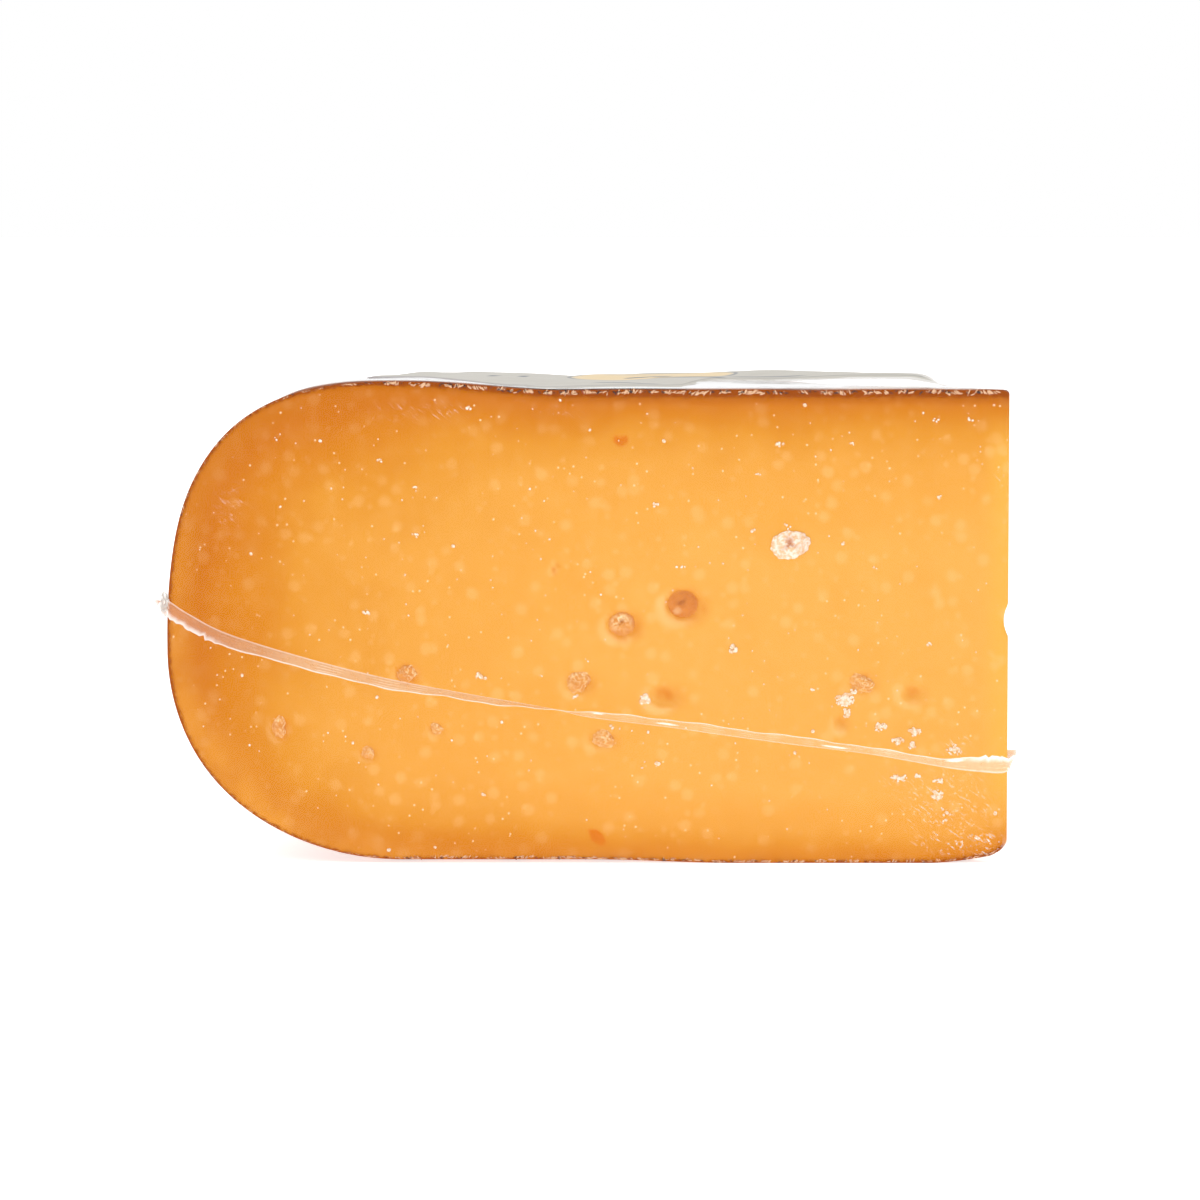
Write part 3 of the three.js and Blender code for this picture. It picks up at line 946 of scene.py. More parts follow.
    def with_rind(self, shader: Shader, paste: Socket) -> tuple[Socket, Socket, Socket]:
        """Lay the rind over the paste, with a brown crust along its cut edge.

        Args:
            shader: The material.
            paste: The paste's colour.

        Returns:
            The colour, the roughness and the height of relief.
        """
        depth, width = shader.stored("rind_depth"), shader.stored("crust_width")
        ragged = shader.times(shader.math("SUBTRACT", shader.grain(1.1, 4.0), 0.5), 1.5)
        share = shader.math("DIVIDE", shader.math("ADD", depth, ragged), width)
        skin = shader.rise(depth, 0.05, 0.0)
        mottle = shader.rise(shader.grain(self.rind_mottle, 9.0), 0.34, 0.68)
        pushed = self.warped(shader, 7.0, 5.0)
        veins = shader.cells(self.rind_veins, "DISTANCE_TO_EDGE", pushed).outputs["Distance"]
        between = shader.math("SUBTRACT", 1.0, shader.rise(veins, 0.0, 0.05))
        rind = shader.blend(mottle, self.rind_dark, self.rind_light)
        rind = shader.blend(shader.times(between, 0.45), rind, self.rind_dark)
        faded = shader.times(shader.rise(share, 2.5, 1.0), shader.rise(width, 0.5, 1.2, 0.55, 0.9))
        crust = shader.blend(shader.rise(width, 0.45, 0.75), self.thin_crust, self.crust)
        colour = shader.blend(faded, paste, self.under_crust)
        colour = shader.blend(shader.rise(share, 1.4, 0.75), colour, crust)
        colour = shader.blend(skin, colour, rind)
        rough = shader.rise(skin, 0.0, 1.0, self.paste_roughness, self.rind_roughness)
        soft = shader.times(shader.grain(4.0, 1.0), 0.12)
        pits = shader.times(shader.grain(3.2, 4.0), shader.times(skin, 1.3))
        return colour, rough, shader.math("ADD", soft, pits)


@dataclass
class CheeseBody:
    """The wedge of cheese itself, with its two cuts, its blunt tip and its rind.

    Where a field gives values round the outline, a place is 0 at the tip's foot, 1 where the foot meets the
    rim, 2 where the rim meets the top and 3 at the tip's top. The glow has a strength and a depth at each.
    """

    wheel: Wheel
    seat: Seat
    finish: PasteFinish = PasteFinish()
    columns: int = 241
    rows: int = 136
    steps: int = 36
    core_depth: float = 33.0
    edge_pace: tuple[tuple[float, float], ...] = (
        (0.0, 2.1), (0.28, 2.1), (0.50, 1.6), (0.70, 1.1), (0.92, 0.62), (1.05, 0.5), (1.2, 0.42),
        (1.5, 0.30), (1.95, 0.32), (2.18, 0.36), (2.34, 0.64), (2.56, 0.88), (3.0, 0.9),
    )
    crust_widths: tuple[tuple[float, float], ...] = (
        (0.0, 0.64), (0.1, 0.56), (0.22, 0.42), (1.1, 0.44), (1.3, 0.6), (2.0, 0.6), (2.16, 0.66),
        (2.34, 1.15), (2.5, 1.5), (3.0, 1.5),
    )
    glow: tuple[tuple[float, float, float], ...] = (
        (0.0, 0.5, 7.0), (0.7, 0.55, 7.0), (0.95, 1.0, 15.0), (1.12, 1.0, 14.0), (1.4, 0.65, 8.0),
        (1.8, 0.3, 7.5), (2.15, 0.0, 7.5),
    )
    glow_start: float = 1.2
    tip_glow: float = 0.7

    def build(self) -> None:
        """Model and dress the wedge."""
        wedge = SpunWedge(self.wheel, self.columns, self.rows, self.steps)
        piece, even = wedge.build(with_air=False)
        self.mark_depths(piece, wedge.rind_depth(even), even)
        self.sink_eyes(piece, even)
        move_vertices(piece, self.seat.from_axis(vertices_of(piece)))
        finish_piece(piece, "cheese_wedge", self.finish.build(), 50.0)
        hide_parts(CHEESE_NODE)

    def mark_depths(self, piece: Piece, depth: Array, even: Array) -> None:
        """Keep, for the finish, how each vertex lies under the rind and near the tip.

        Args:
            piece: The wedge.
            depth: How deep each vertex lies under the rind.
            even: Its vertices before the wheel settled.
        """
        radius, _ = polar(even)
        spots = np.column_stack([radius, even[:, 2]])
        nearest, ageing = np.zeros((2, len(even)))
        stretches = (("foot", 220, 1), ("rim", 160, 1), ("top", 220, -1))
        lines = self.wheel.outline()
        rind = np.vstack([along_line(lines[name], count)[::way] for name, count, way in stretches])
        place = np.concatenate([np.linspace(at, at + 1, count) for at, (_, count, _) in enumerate(stretches)])
        pace = np.interp(place, *zip(*self.edge_pace))
        for chosen, step in ((depth > 0.0, 1), (depth == 0.0, 4)):
            found = [
                (place[::step][gaps.argmin(1)], (gaps * pace[::step]).min(1))
                for gaps in gaps_between(spots[chosen], rind[::step])
            ]
            nearest[chosen], ageing[chosen] = (np.concatenate(column) for column in zip(*found))
        along, inside = radius - self.wheel.setback, depth > 0.0
        glow_places, strengths, depths = zip(*self.glow)
        glow_reach = np.interp(nearest, glow_places, depths) - self.glow_start
        fading = fall((depth - self.glow_start) / glow_reach, 0.0, 1.0)
        store(
            piece,
            rind_depth=depth,
            ageing=np.clip(ageing / self.core_depth, 0.0, 1.0) * inside,
            crust_width=np.interp(nearest, *zip(*self.crust_widths)),
            # painted light through the thin tip, fading within 7 mm of its end
            tip_glow=self.tip_glow * fall(along, 0.5, 7.0) * smooth(depth, 4.0, 16.0),
            rim_glow=np.interp(nearest, glow_places, strengths) * fading * inside,
        )

    def sink_eyes(self, piece: Piece, even: Array) -> None:
        """Press the eyes into both cuts and keep, for the finish, their stains with the painted shadows below
        them and the painted highlights on their lips.

        Args:
            piece: The wedge, about the wheel's axis.
            even: Its vertices before the wheel settled.
        """
        places, (radius, turn) = vertices_of(piece), polar(even)
        along, up = radius - self.wheel.setback, even[:, 2]
        stain, pale = np.zeros(len(places)), np.zeros(len(places))
        inwards = ((0.0, 1.0), (-math.sin(self.wheel.turn), -math.cos(self.wheel.turn)))
        for on_cut, eyes, inward in zip(self.wheel.on_cuts(turn), (FRONT_EYES, BACK_EYES), inwards):
            for eye in eyes:
                places[:, :2] += (on_cut * eye.hollow(along, up))[:, None] * inward
                dark, lit = eye.shading(along, up)
                stain, pale = np.maximum(stain, on_cut * dark), np.maximum(pale, on_cut * lit)
        move_vertices(piece, places)
        # The eyes' colour with their painted shadows, and the painted highlights on their lips.
        store(piece, stain=stain, pale=pale)


# ---- nodules and salt
@dataclass(frozen=True)
class NoduleFinish:
    """The finish of the hard brown nodules in the eyes."""

    flesh: Colour = hue(204, 124, 46)
    pale_flesh: Colour = hue(220, 156, 78)
    # Darker tone for the mottle, also used for the painted shade.
    shaded: Colour = hue(184, 100, 30)
    crack: Colour = hue(132, 62, 20)
    # Salt's white, also used for the painted highlight on domes.
    frost: Colour = hue(240, 210, 160)
    melting: Colour = hue(214, 140, 44)

    def build(self) -> Material:
        """Make the material."""
        shader = Shader("salt_nodule")
        mottle = shader.rise(shader.grain(1.1, 3.0), 0.3, 0.62)
        colour = shader.blend(shader.stored("pale"), self.flesh, self.pale_flesh)
        colour = shader.blend(shader.times(mottle, 0.4), colour, self.shaded)
        # Painted shade on each nodule's upper side, towards the tip.
        colour = shader.blend(shader.stored("shaded"), colour, self.shaded)
        colour = shader.blend(shader.stored("rimmed"), colour, self.melting)
        speckle = shader.rise(shader.grain(0.45, 3.0), 0.42, 0.62)
        # White salt, and on domes a painted highlight.
        frost = shader.times(shader.stored("frost"), shader.math("MULTIPLY_ADD", speckle, 0.55, 0.45))
        colour = shader.blend(frost, colour, self.frost)
        colour = shader.blend(shader.stored("crack"), colour, self.crack)
        return shader.plain(colour, 0.55, shader.bump(shader.grain(0.6, 3.0), 0.15), gloss=0.25)


@dataclass(frozen=True)
class NoduleShape:
    """How a kind of nodule sits in its eye, in millimetres, and how it is marked, painted shade included, as
    shares.
    """

    fill: float
    thick: float
    proud: float
    lumpy: float
    crack: float
    rimmed: float
    shaded: float
    pale: float
    stained: float


NODULE_SHAPES = {
    DOME: NoduleShape(1.02, 1.0, 0.2, 1.0, 0.9, 0.75, 0.75, 0.0, 0.0),
    CROWN: NoduleShape(1.02, 0.9, 0.18, 1.0, 0.6, 0.75, 0.75, 0.6, 0.0),
    LATTICE: NoduleShape(1.06, 0.55, 0.14, 2.2, 0.0, 0.375, 0.5, 1.9, 1.5),
}


@dataclass
class EyeNodules:
    """The hard nodules in the eyes of both cuts, domed or flat, each with its own noise."""

    seat: Seat
    finish: NoduleFinish = NoduleFinish()
    fine_from: float = 4.0

    def build(self) -> None:
        """Model and dress every nodule."""
        seats = [(eye, self.seat.on_front) for eye in FRONT_EYES]
        seats += [(eye, self.seat.on_back) for eye in BACK_EYES]
        held = [(eye, put, number) for number, (eye, put) in enumerate(seats) if eye.kind in NODULE_SHAPES]
        piece = join([self.nodule(*one) for one in held])
        outward(piece)
        finish_piece(piece, "salt_nodules", self.finish.build(), 60.0)

    def nodule(self, eye: Eye, put: OnCut, number: int) -> Piece:
        """Model one nodule in its eye.

        Args:
            eye: The eye that holds it.
            put: The cut that carries it.
            number: Makes its noise its own.

        Returns:
            The nodule, in place.
        """
        shape = NODULE_SHAPES[eye.kind]
        piece, ball = add_ball(5 if eye.wide > self.fine_from else 4)
        x, y, z = ball.T
        coarse = ripple(ball * 3.0, 1.5, number * 7.3) * 0.09 * shape.lumpy
        lumps = coarse + ripple(ball * 3.0, 0.55, number * 3.1) * 0.05
        veins = np.abs(ripple(ball * 3.0, 0.9, number * 5.7 + 40.0))
        edge, bearing = np.hypot(x, y), np.arctan2(y, x)
        off = np.hypot(x - 0.1, y - 0.18)
        star = np.exp(-((off / (0.15 + 0.1 * np.cos(3.0 * bearing + number))) ** 2)) * (z > 0.0)
        grown = ball * (1.0 + lumps)[:, None]
        grown[:, 2] -= 0.15 * star
        if eye.kind is LATTICE:
            bite = 0.22 * smooth(np.cos(bearing - 1.7 * number), 0.4, 1.0)
            uneven = 0.16 * np.cos(2.0 * bearing + number)
            grown[:, :2] *= (1.04 - bite + uneven + 0.1 * np.cos(3.0 * bearing + 2.0 * number))[:, None]
            grown[:, 2] += 0.16 * fall(veins, 0.0, 0.16) * (z > 0.2)
        half = shape.fill / 2.0
        size = grown[:, 0] * eye.wide * half, grown[:, 1] * eye.high * half
        across, over = turned(*size, math.radians(eye.lean))
        proud = shape.proud - shape.thick + grown[:, 2] * shape.thick
        move_vertices(piece, self.seat.from_axis(put(eye.along + across, eye.up + over, proud)))
        store(
            piece,
            crack=star * shape.crack,
            # white salt, and on a dome a painted highlight
            frost=self.frosting(eye.kind, edge, bearing, veins, number) * (z > 0.0),
            rimmed=shape.rimmed * smooth(edge + 0.5 * lumps, 0.72, 1.0),
            pale=np.full(len(ball), shape.pale - shape.stained * eye.stain),
            # painted shade on the upper side, towards the tip
            shaded=shape.shaded * smooth(0.5 * y - 0.7 * x, 0.2, 1.0),
        )
        return piece

    @staticmethod
    def frosting(kind: EyeKind, edge: Array, bearing: Array, veins: Array, number: int) -> Array:
        """Decide where a nodule is white with salt and, on a dome, where a highlight is painted on its lower
        side away from the tip.

        Args:
            kind: What kind of nodule it is.
            edge: Each vertex's distance from the middle, 1 at the rim.
            bearing: Its bearing round the middle.
            veins: Noise that is 0 along the salt's veins.
            number: The nodule's number.

        Returns:
            How white each vertex is, from 0 to 1.
        """
        if kind is DOME:
            # A painted highlight low on the dome, away from the tip.
            glint = np.hypot(edge * np.cos(bearing) - 0.3, edge * np.sin(bearing) + 0.42)
            return 0.3 * fall(glint, 0.16, 0.3)
        if kind is CROWN:
            ring = smooth(edge, 0.16, 0.34) * fall(edge, 0.5, 0.85)
            return ring * (0.6 + 0.4 * np.cos(bearing - 0.8 - 0.3 * number)) * fall(veins, 0.1, 0.5)
        return fall(veins, 0.04, 0.24) * (0.7 + 0.3 * np.cos(bearing - 2.6))


@dataclass(frozen=True)
class SaltFinish:
    """The finish of the white grains of salt."""

    white: Colour = hue(236, 222, 204)
    warm: Colour = hue(226, 184, 140)
    core: Colour = hue(176, 100, 58)

    def build(self) -> Material:
        """Make the material."""
        shader = Shader("white_salt")
        colour = shader.blend(shader.rise(shader.grain(0.8, 3.0), 0.4, 0.62), self.white, self.warm)
        colour = shader.blend(shader.stored("core"), colour, self.core)
        return shader.plain(colour, 0.6, shader.bump(shader.grain(0.25, 2.0), 0.08))


@dataclass
class WhiteCrystals:
    """White salt on both cuts: single grains, crumbled patches and the rosette over one eye."""

    seat: Seat
    finish: SaltFinish = SaltFinish()
    grains: tuple[tuple[float, float, float], ...] = (
        (150.3, 92.7, 0.7), (137.3, 88.5, 0.9), (129.7, 82.6, 0.9), (129.7, 72.1, 1.1), (121.4, 69.7, 0.7),
        (131.9, 63.4, 0.7), (104.6, 82.2, 0.7), (101.5, 79.6, 0.4), (159.1, 78.3, 0.7), (165.5, 68.0, 0.7),
        (140.4, 55.1, 1.1), (167.6, 41.4, 0.7), (138.1, 36.6, 0.7), (115.6, 41.2, 1.5), (102.0, 41.2, 0.4),
        (143.4, 26.5, 0.7), (110.8, 31.1, 0.7), (116.2, 22.3, 0.4), (114.9, 15.2, 1.1), (135.6, 2.9, 0.7),
        (125.5, 3.5, 0.7), (75.4, 92.7, 0.7), (50.5, 92.0, 1.3), (54.9, 85.5, 0.9), (77.3, 78.7, 1.3),
        (55.9, 73.2, 1.1), (71.4, 65.4, 0.9), (60.2, 46.7, 1.8), (48.1, 74.1, 1.2), (79.7, 35.9, 2.2),
        (76.2, 21.9, 1.5), (78.8, 28.9, 0.7), (94.8, 36.8, 0.9), (15.1, 80.5, 0.9), (16.1, 97.3, 0.9),
        (29.5, 65.1, 0.7), (34.4, 92.0, 0.9), (17.2, 48.2, 0.9), (42.7, 38.1, 0.9), (42.7, 29.1, 0.7),
        (46.7, 51.3, 0.4), (46.6, 24.3, 0.7), (39.0, 90.7, 0.4), (36.3, 70.2, 0.7), (39.3, 71.9, 0.4),
        (8.7, 97.7, 0.9), (3.5, 100.5, 0.7), (18.9, 98.8, 0.7), (44.7, 100.5, 0.7), (15.9, 18.3, 0.9),
        (2.7, 11.0, 0.7), (80.1, 21.0, 0.7), (86.0, 30.2, 1.1), (132.5, 79.8, 0.4), (144.9, 86.4, 0.4),
        (98.0, 101.6, 0.7), (117.6, 99.9, 1.1), (91.5, 95.1, 0.7),
    )
    patches: tuple[tuple[float, float, float, float, int], ...] = (
        (35.8, 36.0, 4.2, 2.8, 150), (35.4, 33.2, 1.7, 2.4, 30), (34.0, 37.6, 1.8, 1.8, 14),
        (27.8, 30.0, 3.0, 2.0, 30), (20.6, 28.7, 3.0, 2.2, 26), (24.1, 26.9, 3.0, 1.7, 30),
        (21.0, 26.0, 1.6, 1.6, 14), (15.5, 15.0, 2.6, 2.4, 44), (11.6, 24.9, 4.4, 2.8, 26),
        (23.6, 18.8, 4.2, 1.5, 20), (20.0, 19.2, 1.8, 0.9, 8), (14.8, 18.2, 1.6, 1.2, 8),
        (13.4, 11.0, 3.0, 4.0, 8), (79.6, 36.0, 2.4, 2.0, 20),
    )
    rosette: tuple[float, float, float, float] = (47.8, 70.0, 8.6, 6.2)
    strays: int = 190
    back_patches: int = 5
    back_patch_size: tuple[float, float] = (3.0, 2.2)
    lone_below: float = 0.8
    seed: int = 11
    random: np.random.Generator = field(init=False)
    shape: Piece = field(init=False)

    def build(self) -> None:
        """Model and dress all the salt."""
        self.random, self.shape = np.random.default_rng(self.seed), self.grain()
        made = [self.crust()]
        for grain in self.grains:
            made += self.speck(self.seat.on_front, *grain)
        for *patch, count in self.patches:
            made += self.crumbled(self.seat.on_front, patch, count)
        for put, count in ((self.seat.on_front, self.strays), (self.seat.on_back, self.strays // 2)):
            for _ in range(count):
                made += self.speck(put, *self.anywhere())
        for number in range(self.back_patches):
            along, up, _ = self.anywhere()
            made += self.crumbled(self.seat.on_back, (along, up, *self.back_patch_size), 10 + 2 * number)
        bpy.data.objects.remove(self.shape)
        piece = join(made)
        finish_piece(piece, "white_salt", self.finish.build(), 35.0)

    def anywhere(self) -> tuple[float, float, float]:
        """Pick a place on a cut, clear of the rind, and a small size."""
        up = self.random.uniform(5.0, 100.0)
        reach = self.seat.wheel.rim_radius(np.array(up)) - self.seat.wheel.setback - 3.5
        return self.random.uniform(4.0, float(reach)), up, self.random.uniform(0.18, 0.42)

    @staticmethod
    def grain() -> Piece:
        """Model one angular grain, a millimetre across."""
        shape, _ = add_ball(1, 0.5)
        with whole_mesh(shape):
            bpy.ops.mesh.bevel(offset=0.06, segments=1, affect="EDGES")
        places = vertices_of(shape)
        move_vertices(shape, places * (1.0 + 0.3 * ripple(places, 0.4))[:, None] * (1.0, 0.8, 0.6))
        store(shape, core=np.zeros(len(places)))
        return shape

    def speck(self, put: OnCut, along: float, up: float, size: float) -> list[Piece]:
        """Set one speck: a grain, or a few that lie together where it is large.

        Args:
            put: The cut that carries it.
            along: Its distance from the tip.
            up: Its height.
            size: Its width.

        Returns:
            The new grains.
        """
        lone = size < self.lone_below
        count, spread, share = (1, 0.0, 1.0) if lone else (int(2 + size * 2.4), size * 0.36, 0.52)
        grains = []
        for _ in range(count):
            shift = self.random.normal(0.0, 1.0, 2) * spread * (1.0, 0.6)
            width = size * share * self.random.uniform(0.7, 1.25)
            grains.append(self.copy(put, along + shift[0], up + shift[1], width))
        return grains

    def crumbled(self, put: OnCut, patch: Sequence[float], count: int) -> list[Piece]:
        """Crumble a patch of salt over a cut.

        Args:
            put: The cut that carries it.
            patch: The patch's middle, width and height.
            count: How many grains it holds.

        Returns:
            The new grains.
        """
        along, up, wide, high = patch
        grains = []
        for _ in range(count):
            far, bearing = self.random.uniform(0.0, 1.0) ** 0.8 * 0.5, self.random.uniform(0.0, math.tau)
            place = along + far * wide * math.cos(bearing), up + far * high * math.sin(bearing)
            grains.append(self.copy(put, *place, self.random.uniform(0.35, 0.95) * (1.1 - far)))
        return grains

    def copy(self, put: OnCut, along: float, up: float, width: float) -> Piece:
        """Copy the grain to a place, turned by chance.

        Args:
            put: The cut that carries it.
            along: Its distance from the tip.
            up: Its height.
            width: Its width.

        Returns:
            The new grain.
        """
        grain = copy_of(self.shape, "grain")
        places = vertices_of(grain) * width * 1.3
        lean, tilt = self.random.uniform(0.0, math.tau), self.random.normal(0.0, 0.5)
        x, y = turned(places[:, 0], places[:, 1], lean)
        proud = 0.02 + 0.1 * width + places[:, 2] * math.cos(tilt) + 0.3 * x * math.sin(tilt)
        move_vertices(grain, self.seat.from_axis(put(along + x, up + y, proud)))
        return grain

    def crust(self) -> Piece:
        """Model the rosette: a granular crust with lobes round its rim and a brown star in its middle.

        Returns:
            The crust, in place.
        """
        along, up, wide, high = self.rosette
        piece, ball = add_ball(6)
        x, y, z = ball.T
        bearing = np.arctan2(y, x)
        lobes = 1.0 + 0.03 * np.sin(3.0 * bearing + 1.0)
        lobes = lobes + 0.025 * np.sin(8.0 * bearing) + 0.02 * np.sin(15.0 * bearing + 2.0)
        knobs = ripple(ball * 3.0, 0.36, 4.0) * 0.22 + ripple(ball * 3.0, 0.16, 9.0) * 0.12
        hollow = np.hypot(x + 0.02, (y - 0.12) * 0.8)
        star = np.exp(-((hollow / (0.26 + 0.12 * np.cos(3.0 * bearing + 1.4))) ** 2))
        across = x * lobes * (1.0 + 0.14 * knobs) * wide / 2.0
        over = (y * lobes * (1.0 + 0.14 * knobs) + 0.12 * x) * high / 2.0
        plateau = np.sign(z) * np.sqrt(np.abs(z))
        proud = plateau * (0.5 - 0.3 * star + 0.38 * knobs)
        move_vertices(piece, self.seat.from_axis(self.seat.on_front(along - across, up + over, proud + 0.02)))
        outward(piece)
        warm = 0.5 * smooth(x, 0.2, 0.75) * smooth(knobs, -0.1, 0.1) + 0.3 * smooth(-knobs, 0.02, 0.15)
        store(piece, core=np.clip(0.85 * star + 0.7 * warm, 0.0, 0.85) * (z > -0.1))
        return piece


# ---- the crumbly rind edge
@dataclass(frozen=True)
class CrumbFinish:
    """The finish of the torn bits of rind along the cut."""

    cream: Colour = hue(218, 176, 138)
    rust: Colour = hue(146, 62, 28)
    black: Colour = hue(44, 30, 32)

    def build(self) -> Material:
        """Make the material."""
        shader = Shader("torn_rind")
        tone = shader.stored("tone")
        mottle = shader.math("MULTIPLY_ADD", shader.grain(0.4, 2.0), 0.3, -0.15)
        tone = shader.math("ADD", tone, mottle)
        colour = shader.blend(shader.rise(tone, 0.15, 0.5), self.cream, self.rust)
        colour = shader.blend(shader.rise(tone, 0.55, 0.85), colour, self.black)
        return shader.plain(colour, 0.65, shader.bump(shader.grain(0.3, 2.0), 0.06))


@dataclass
class RindCrumbs:
    """Torn bits of rind that hang in tufts along the edges of both cuts."""

    wheel: Wheel
    seat: Seat
    finish: CrumbFinish = CrumbFinish()
    stations: float = 4.0
    foot_scale: float = 0.72
    foot_dark: float = 0.7
    slim_from: float = 128.0
    slim_to: float = 150.0
    dark_from: float = 0.6
    seed: int = 5
    random: np.random.Generator = field(init=False)
    shape: Piece = field(init=False)

    def build(self) -> None:
        """Model and dress the torn rind."""
        self.random, self.shape = np.random.default_rng(self.seed), self.flake()
        made = []
        lines = self.wheel.outline()
        for put, turn in ((self.seat.on_front, 0.0), (self.seat.on_back, self.wheel.turn)):
            top = self.settled(np.vstack([lines["top"], lines["rim"][::-1][:80]]), turn)
            foot = self.settled(np.vstack([lines["foot"], lines["rim"][:60]]), turn)
            made += self.row(put, top, -1.0, 1.0)
            made += self.row(put, foot, 1.0, self.foot_scale)
        bpy.data.objects.remove(self.shape)
        piece = join(made)
        finish_piece(piece, "torn_rind", self.finish.build(), 40.0)

    def settled(self, line: Array, turn: float) -> Array:
        """Follow a line of the outline on the settled wheel.

        Args:
            line: Radii and heights on the even wheel, one row a point.
            turn: The cut's turn from the front cut.

        Returns:
            Distances from the tip and heights, one row a point.
        """
        radius, up = line.T
        even = np.column_stack([-radius * math.cos(turn), radius * math.sin(turn), up])
        real = self.wheel.settle(even, with_air=False)
        return np.column_stack([polar(real)[0] - self.wheel.setback, real[:, 2]])

    @staticmethod
    def flake() -> Piece:
        """Model one thin torn flake, a millimetre long."""
        deselect_all()
        bpy.ops.mesh.primitive_uv_sphere_add(segments=6, ring_count=4, radius=0.5)
        shape = bpy.context.object
        places = vertices_of(shape)[:, [2, 0, 1]]
        move_vertices(shape, places * (1.0 + 0.35 * ripple(places, 0.35))[:, None] * (1.0, 0.27, 0.24))
        store(shape, tone=np.zeros(len(places)))
        return shape

    def row(self, put: OnCut, line: Array, side: float, scale: float) -> list[Piece]:
        """Hang tufts along a line, with dark bits between them.

        Args:
            put: The cut that carries it.
            line: The rind's edge, as distances from the tip and heights.
            side: 1 where the paste lies above the line, -1 where it lies below.
            scale: How large the flakes are beside those of the top.

        Returns:
            The new flakes.
        """
        length = np.linalg.norm(np.diff(line, axis=0), axis=1).sum()
        even = along_line(line, int(length * self.stations))
        tangent = unit(np.gradient(even, axis=0))
        inward = side * np.column_stack([-tangent[:, 1], tangent[:, 0]])
        random, flakes = self.random, []

        def add(reached: float, deep: float, size: float, lean: float, tone: float) -> None:
            """Add a flake of a size, lean and tone, so far along the line and so deep under it."""
            station = min(int(reached * self.stations), len(even) - 1)
            slim = scale * (1.0 - 0.55 * smooth(even[station, 0], self.slim_from, self.slim_to))
            ways = np.column_stack([tangent[station], inward[station]])
            middle = even[station] + inward[station] * deep * slim
            flakes.append(self.copy(put, middle, ways, size * slim, lean, tone))

        reached = 1.5
        while reached < length - 1.0:
            wide, slant = random.uniform(1.2, 5.2), random.choice([-1.0, 1.0]) * random.uniform(0.35, 1.0)
            deep, fibres = random.uniform(0.25, 0.75), int(random.integers(3, 7) * wide)
            for _ in range(fibres):
                tone = float(np.clip(random.normal(0.13, 0.17), 0.0, 0.5))
                hang = 0.18 + deep * random.uniform(0.2, 1.3)
                place, size = reached + random.uniform(0.0, wide), random.uniform(0.4, 1.3)
                add(place, hang, size, slant + random.normal(0.0, 0.35), tone)
            gap = random.uniform(0.2, 2.8)
            for _ in range(int(random.integers(2, 7))):
                place = reached + wide + random.uniform(-0.8, 1.0) * gap
                tone = random.uniform(0.7, 1.2) * (1.0 if side < 0.0 else self.foot_dark)
                hang, size = random.uniform(0.15, 0.75), random.uniform(0.45, 1.1)
                add(place, hang, size, random.normal(0.0, 0.7), tone)
            reached += wide + gap
        return flakes

    def copy(self, put: OnCut, middle: Array, ways: Array, size: float, lean: float, tone: float) -> Piece:
        """Copy the flake to a place.

        Args:
            put: The cut that carries it.
            middle: Its distance from the tip and its height.
            ways: The directions along the rind and inward there, as columns.
            size: Its length.
            lean: Its turn from the rind's direction, in radians.
            tone: How dark it is.

        Returns:
            The new flake.
        """
        flake = copy_of(self.shape, "flake")
        places = vertices_of(flake) * size
        spot = middle + np.column_stack(turned(places[:, 0], places[:, 1], lean)) @ ways.T
        proud = places[:, 2] + self.random.uniform(0.0, 0.1) + 0.06 * (tone > self.dark_from)
        move_vertices(flake, self.seat.from_axis(put(spot[:, 0], np.maximum(spot[:, 1], 0.1), proud)))
        flake.data.attributes["tone"].data.foreach_set("value", np.full(len(places), tone))
        return flake


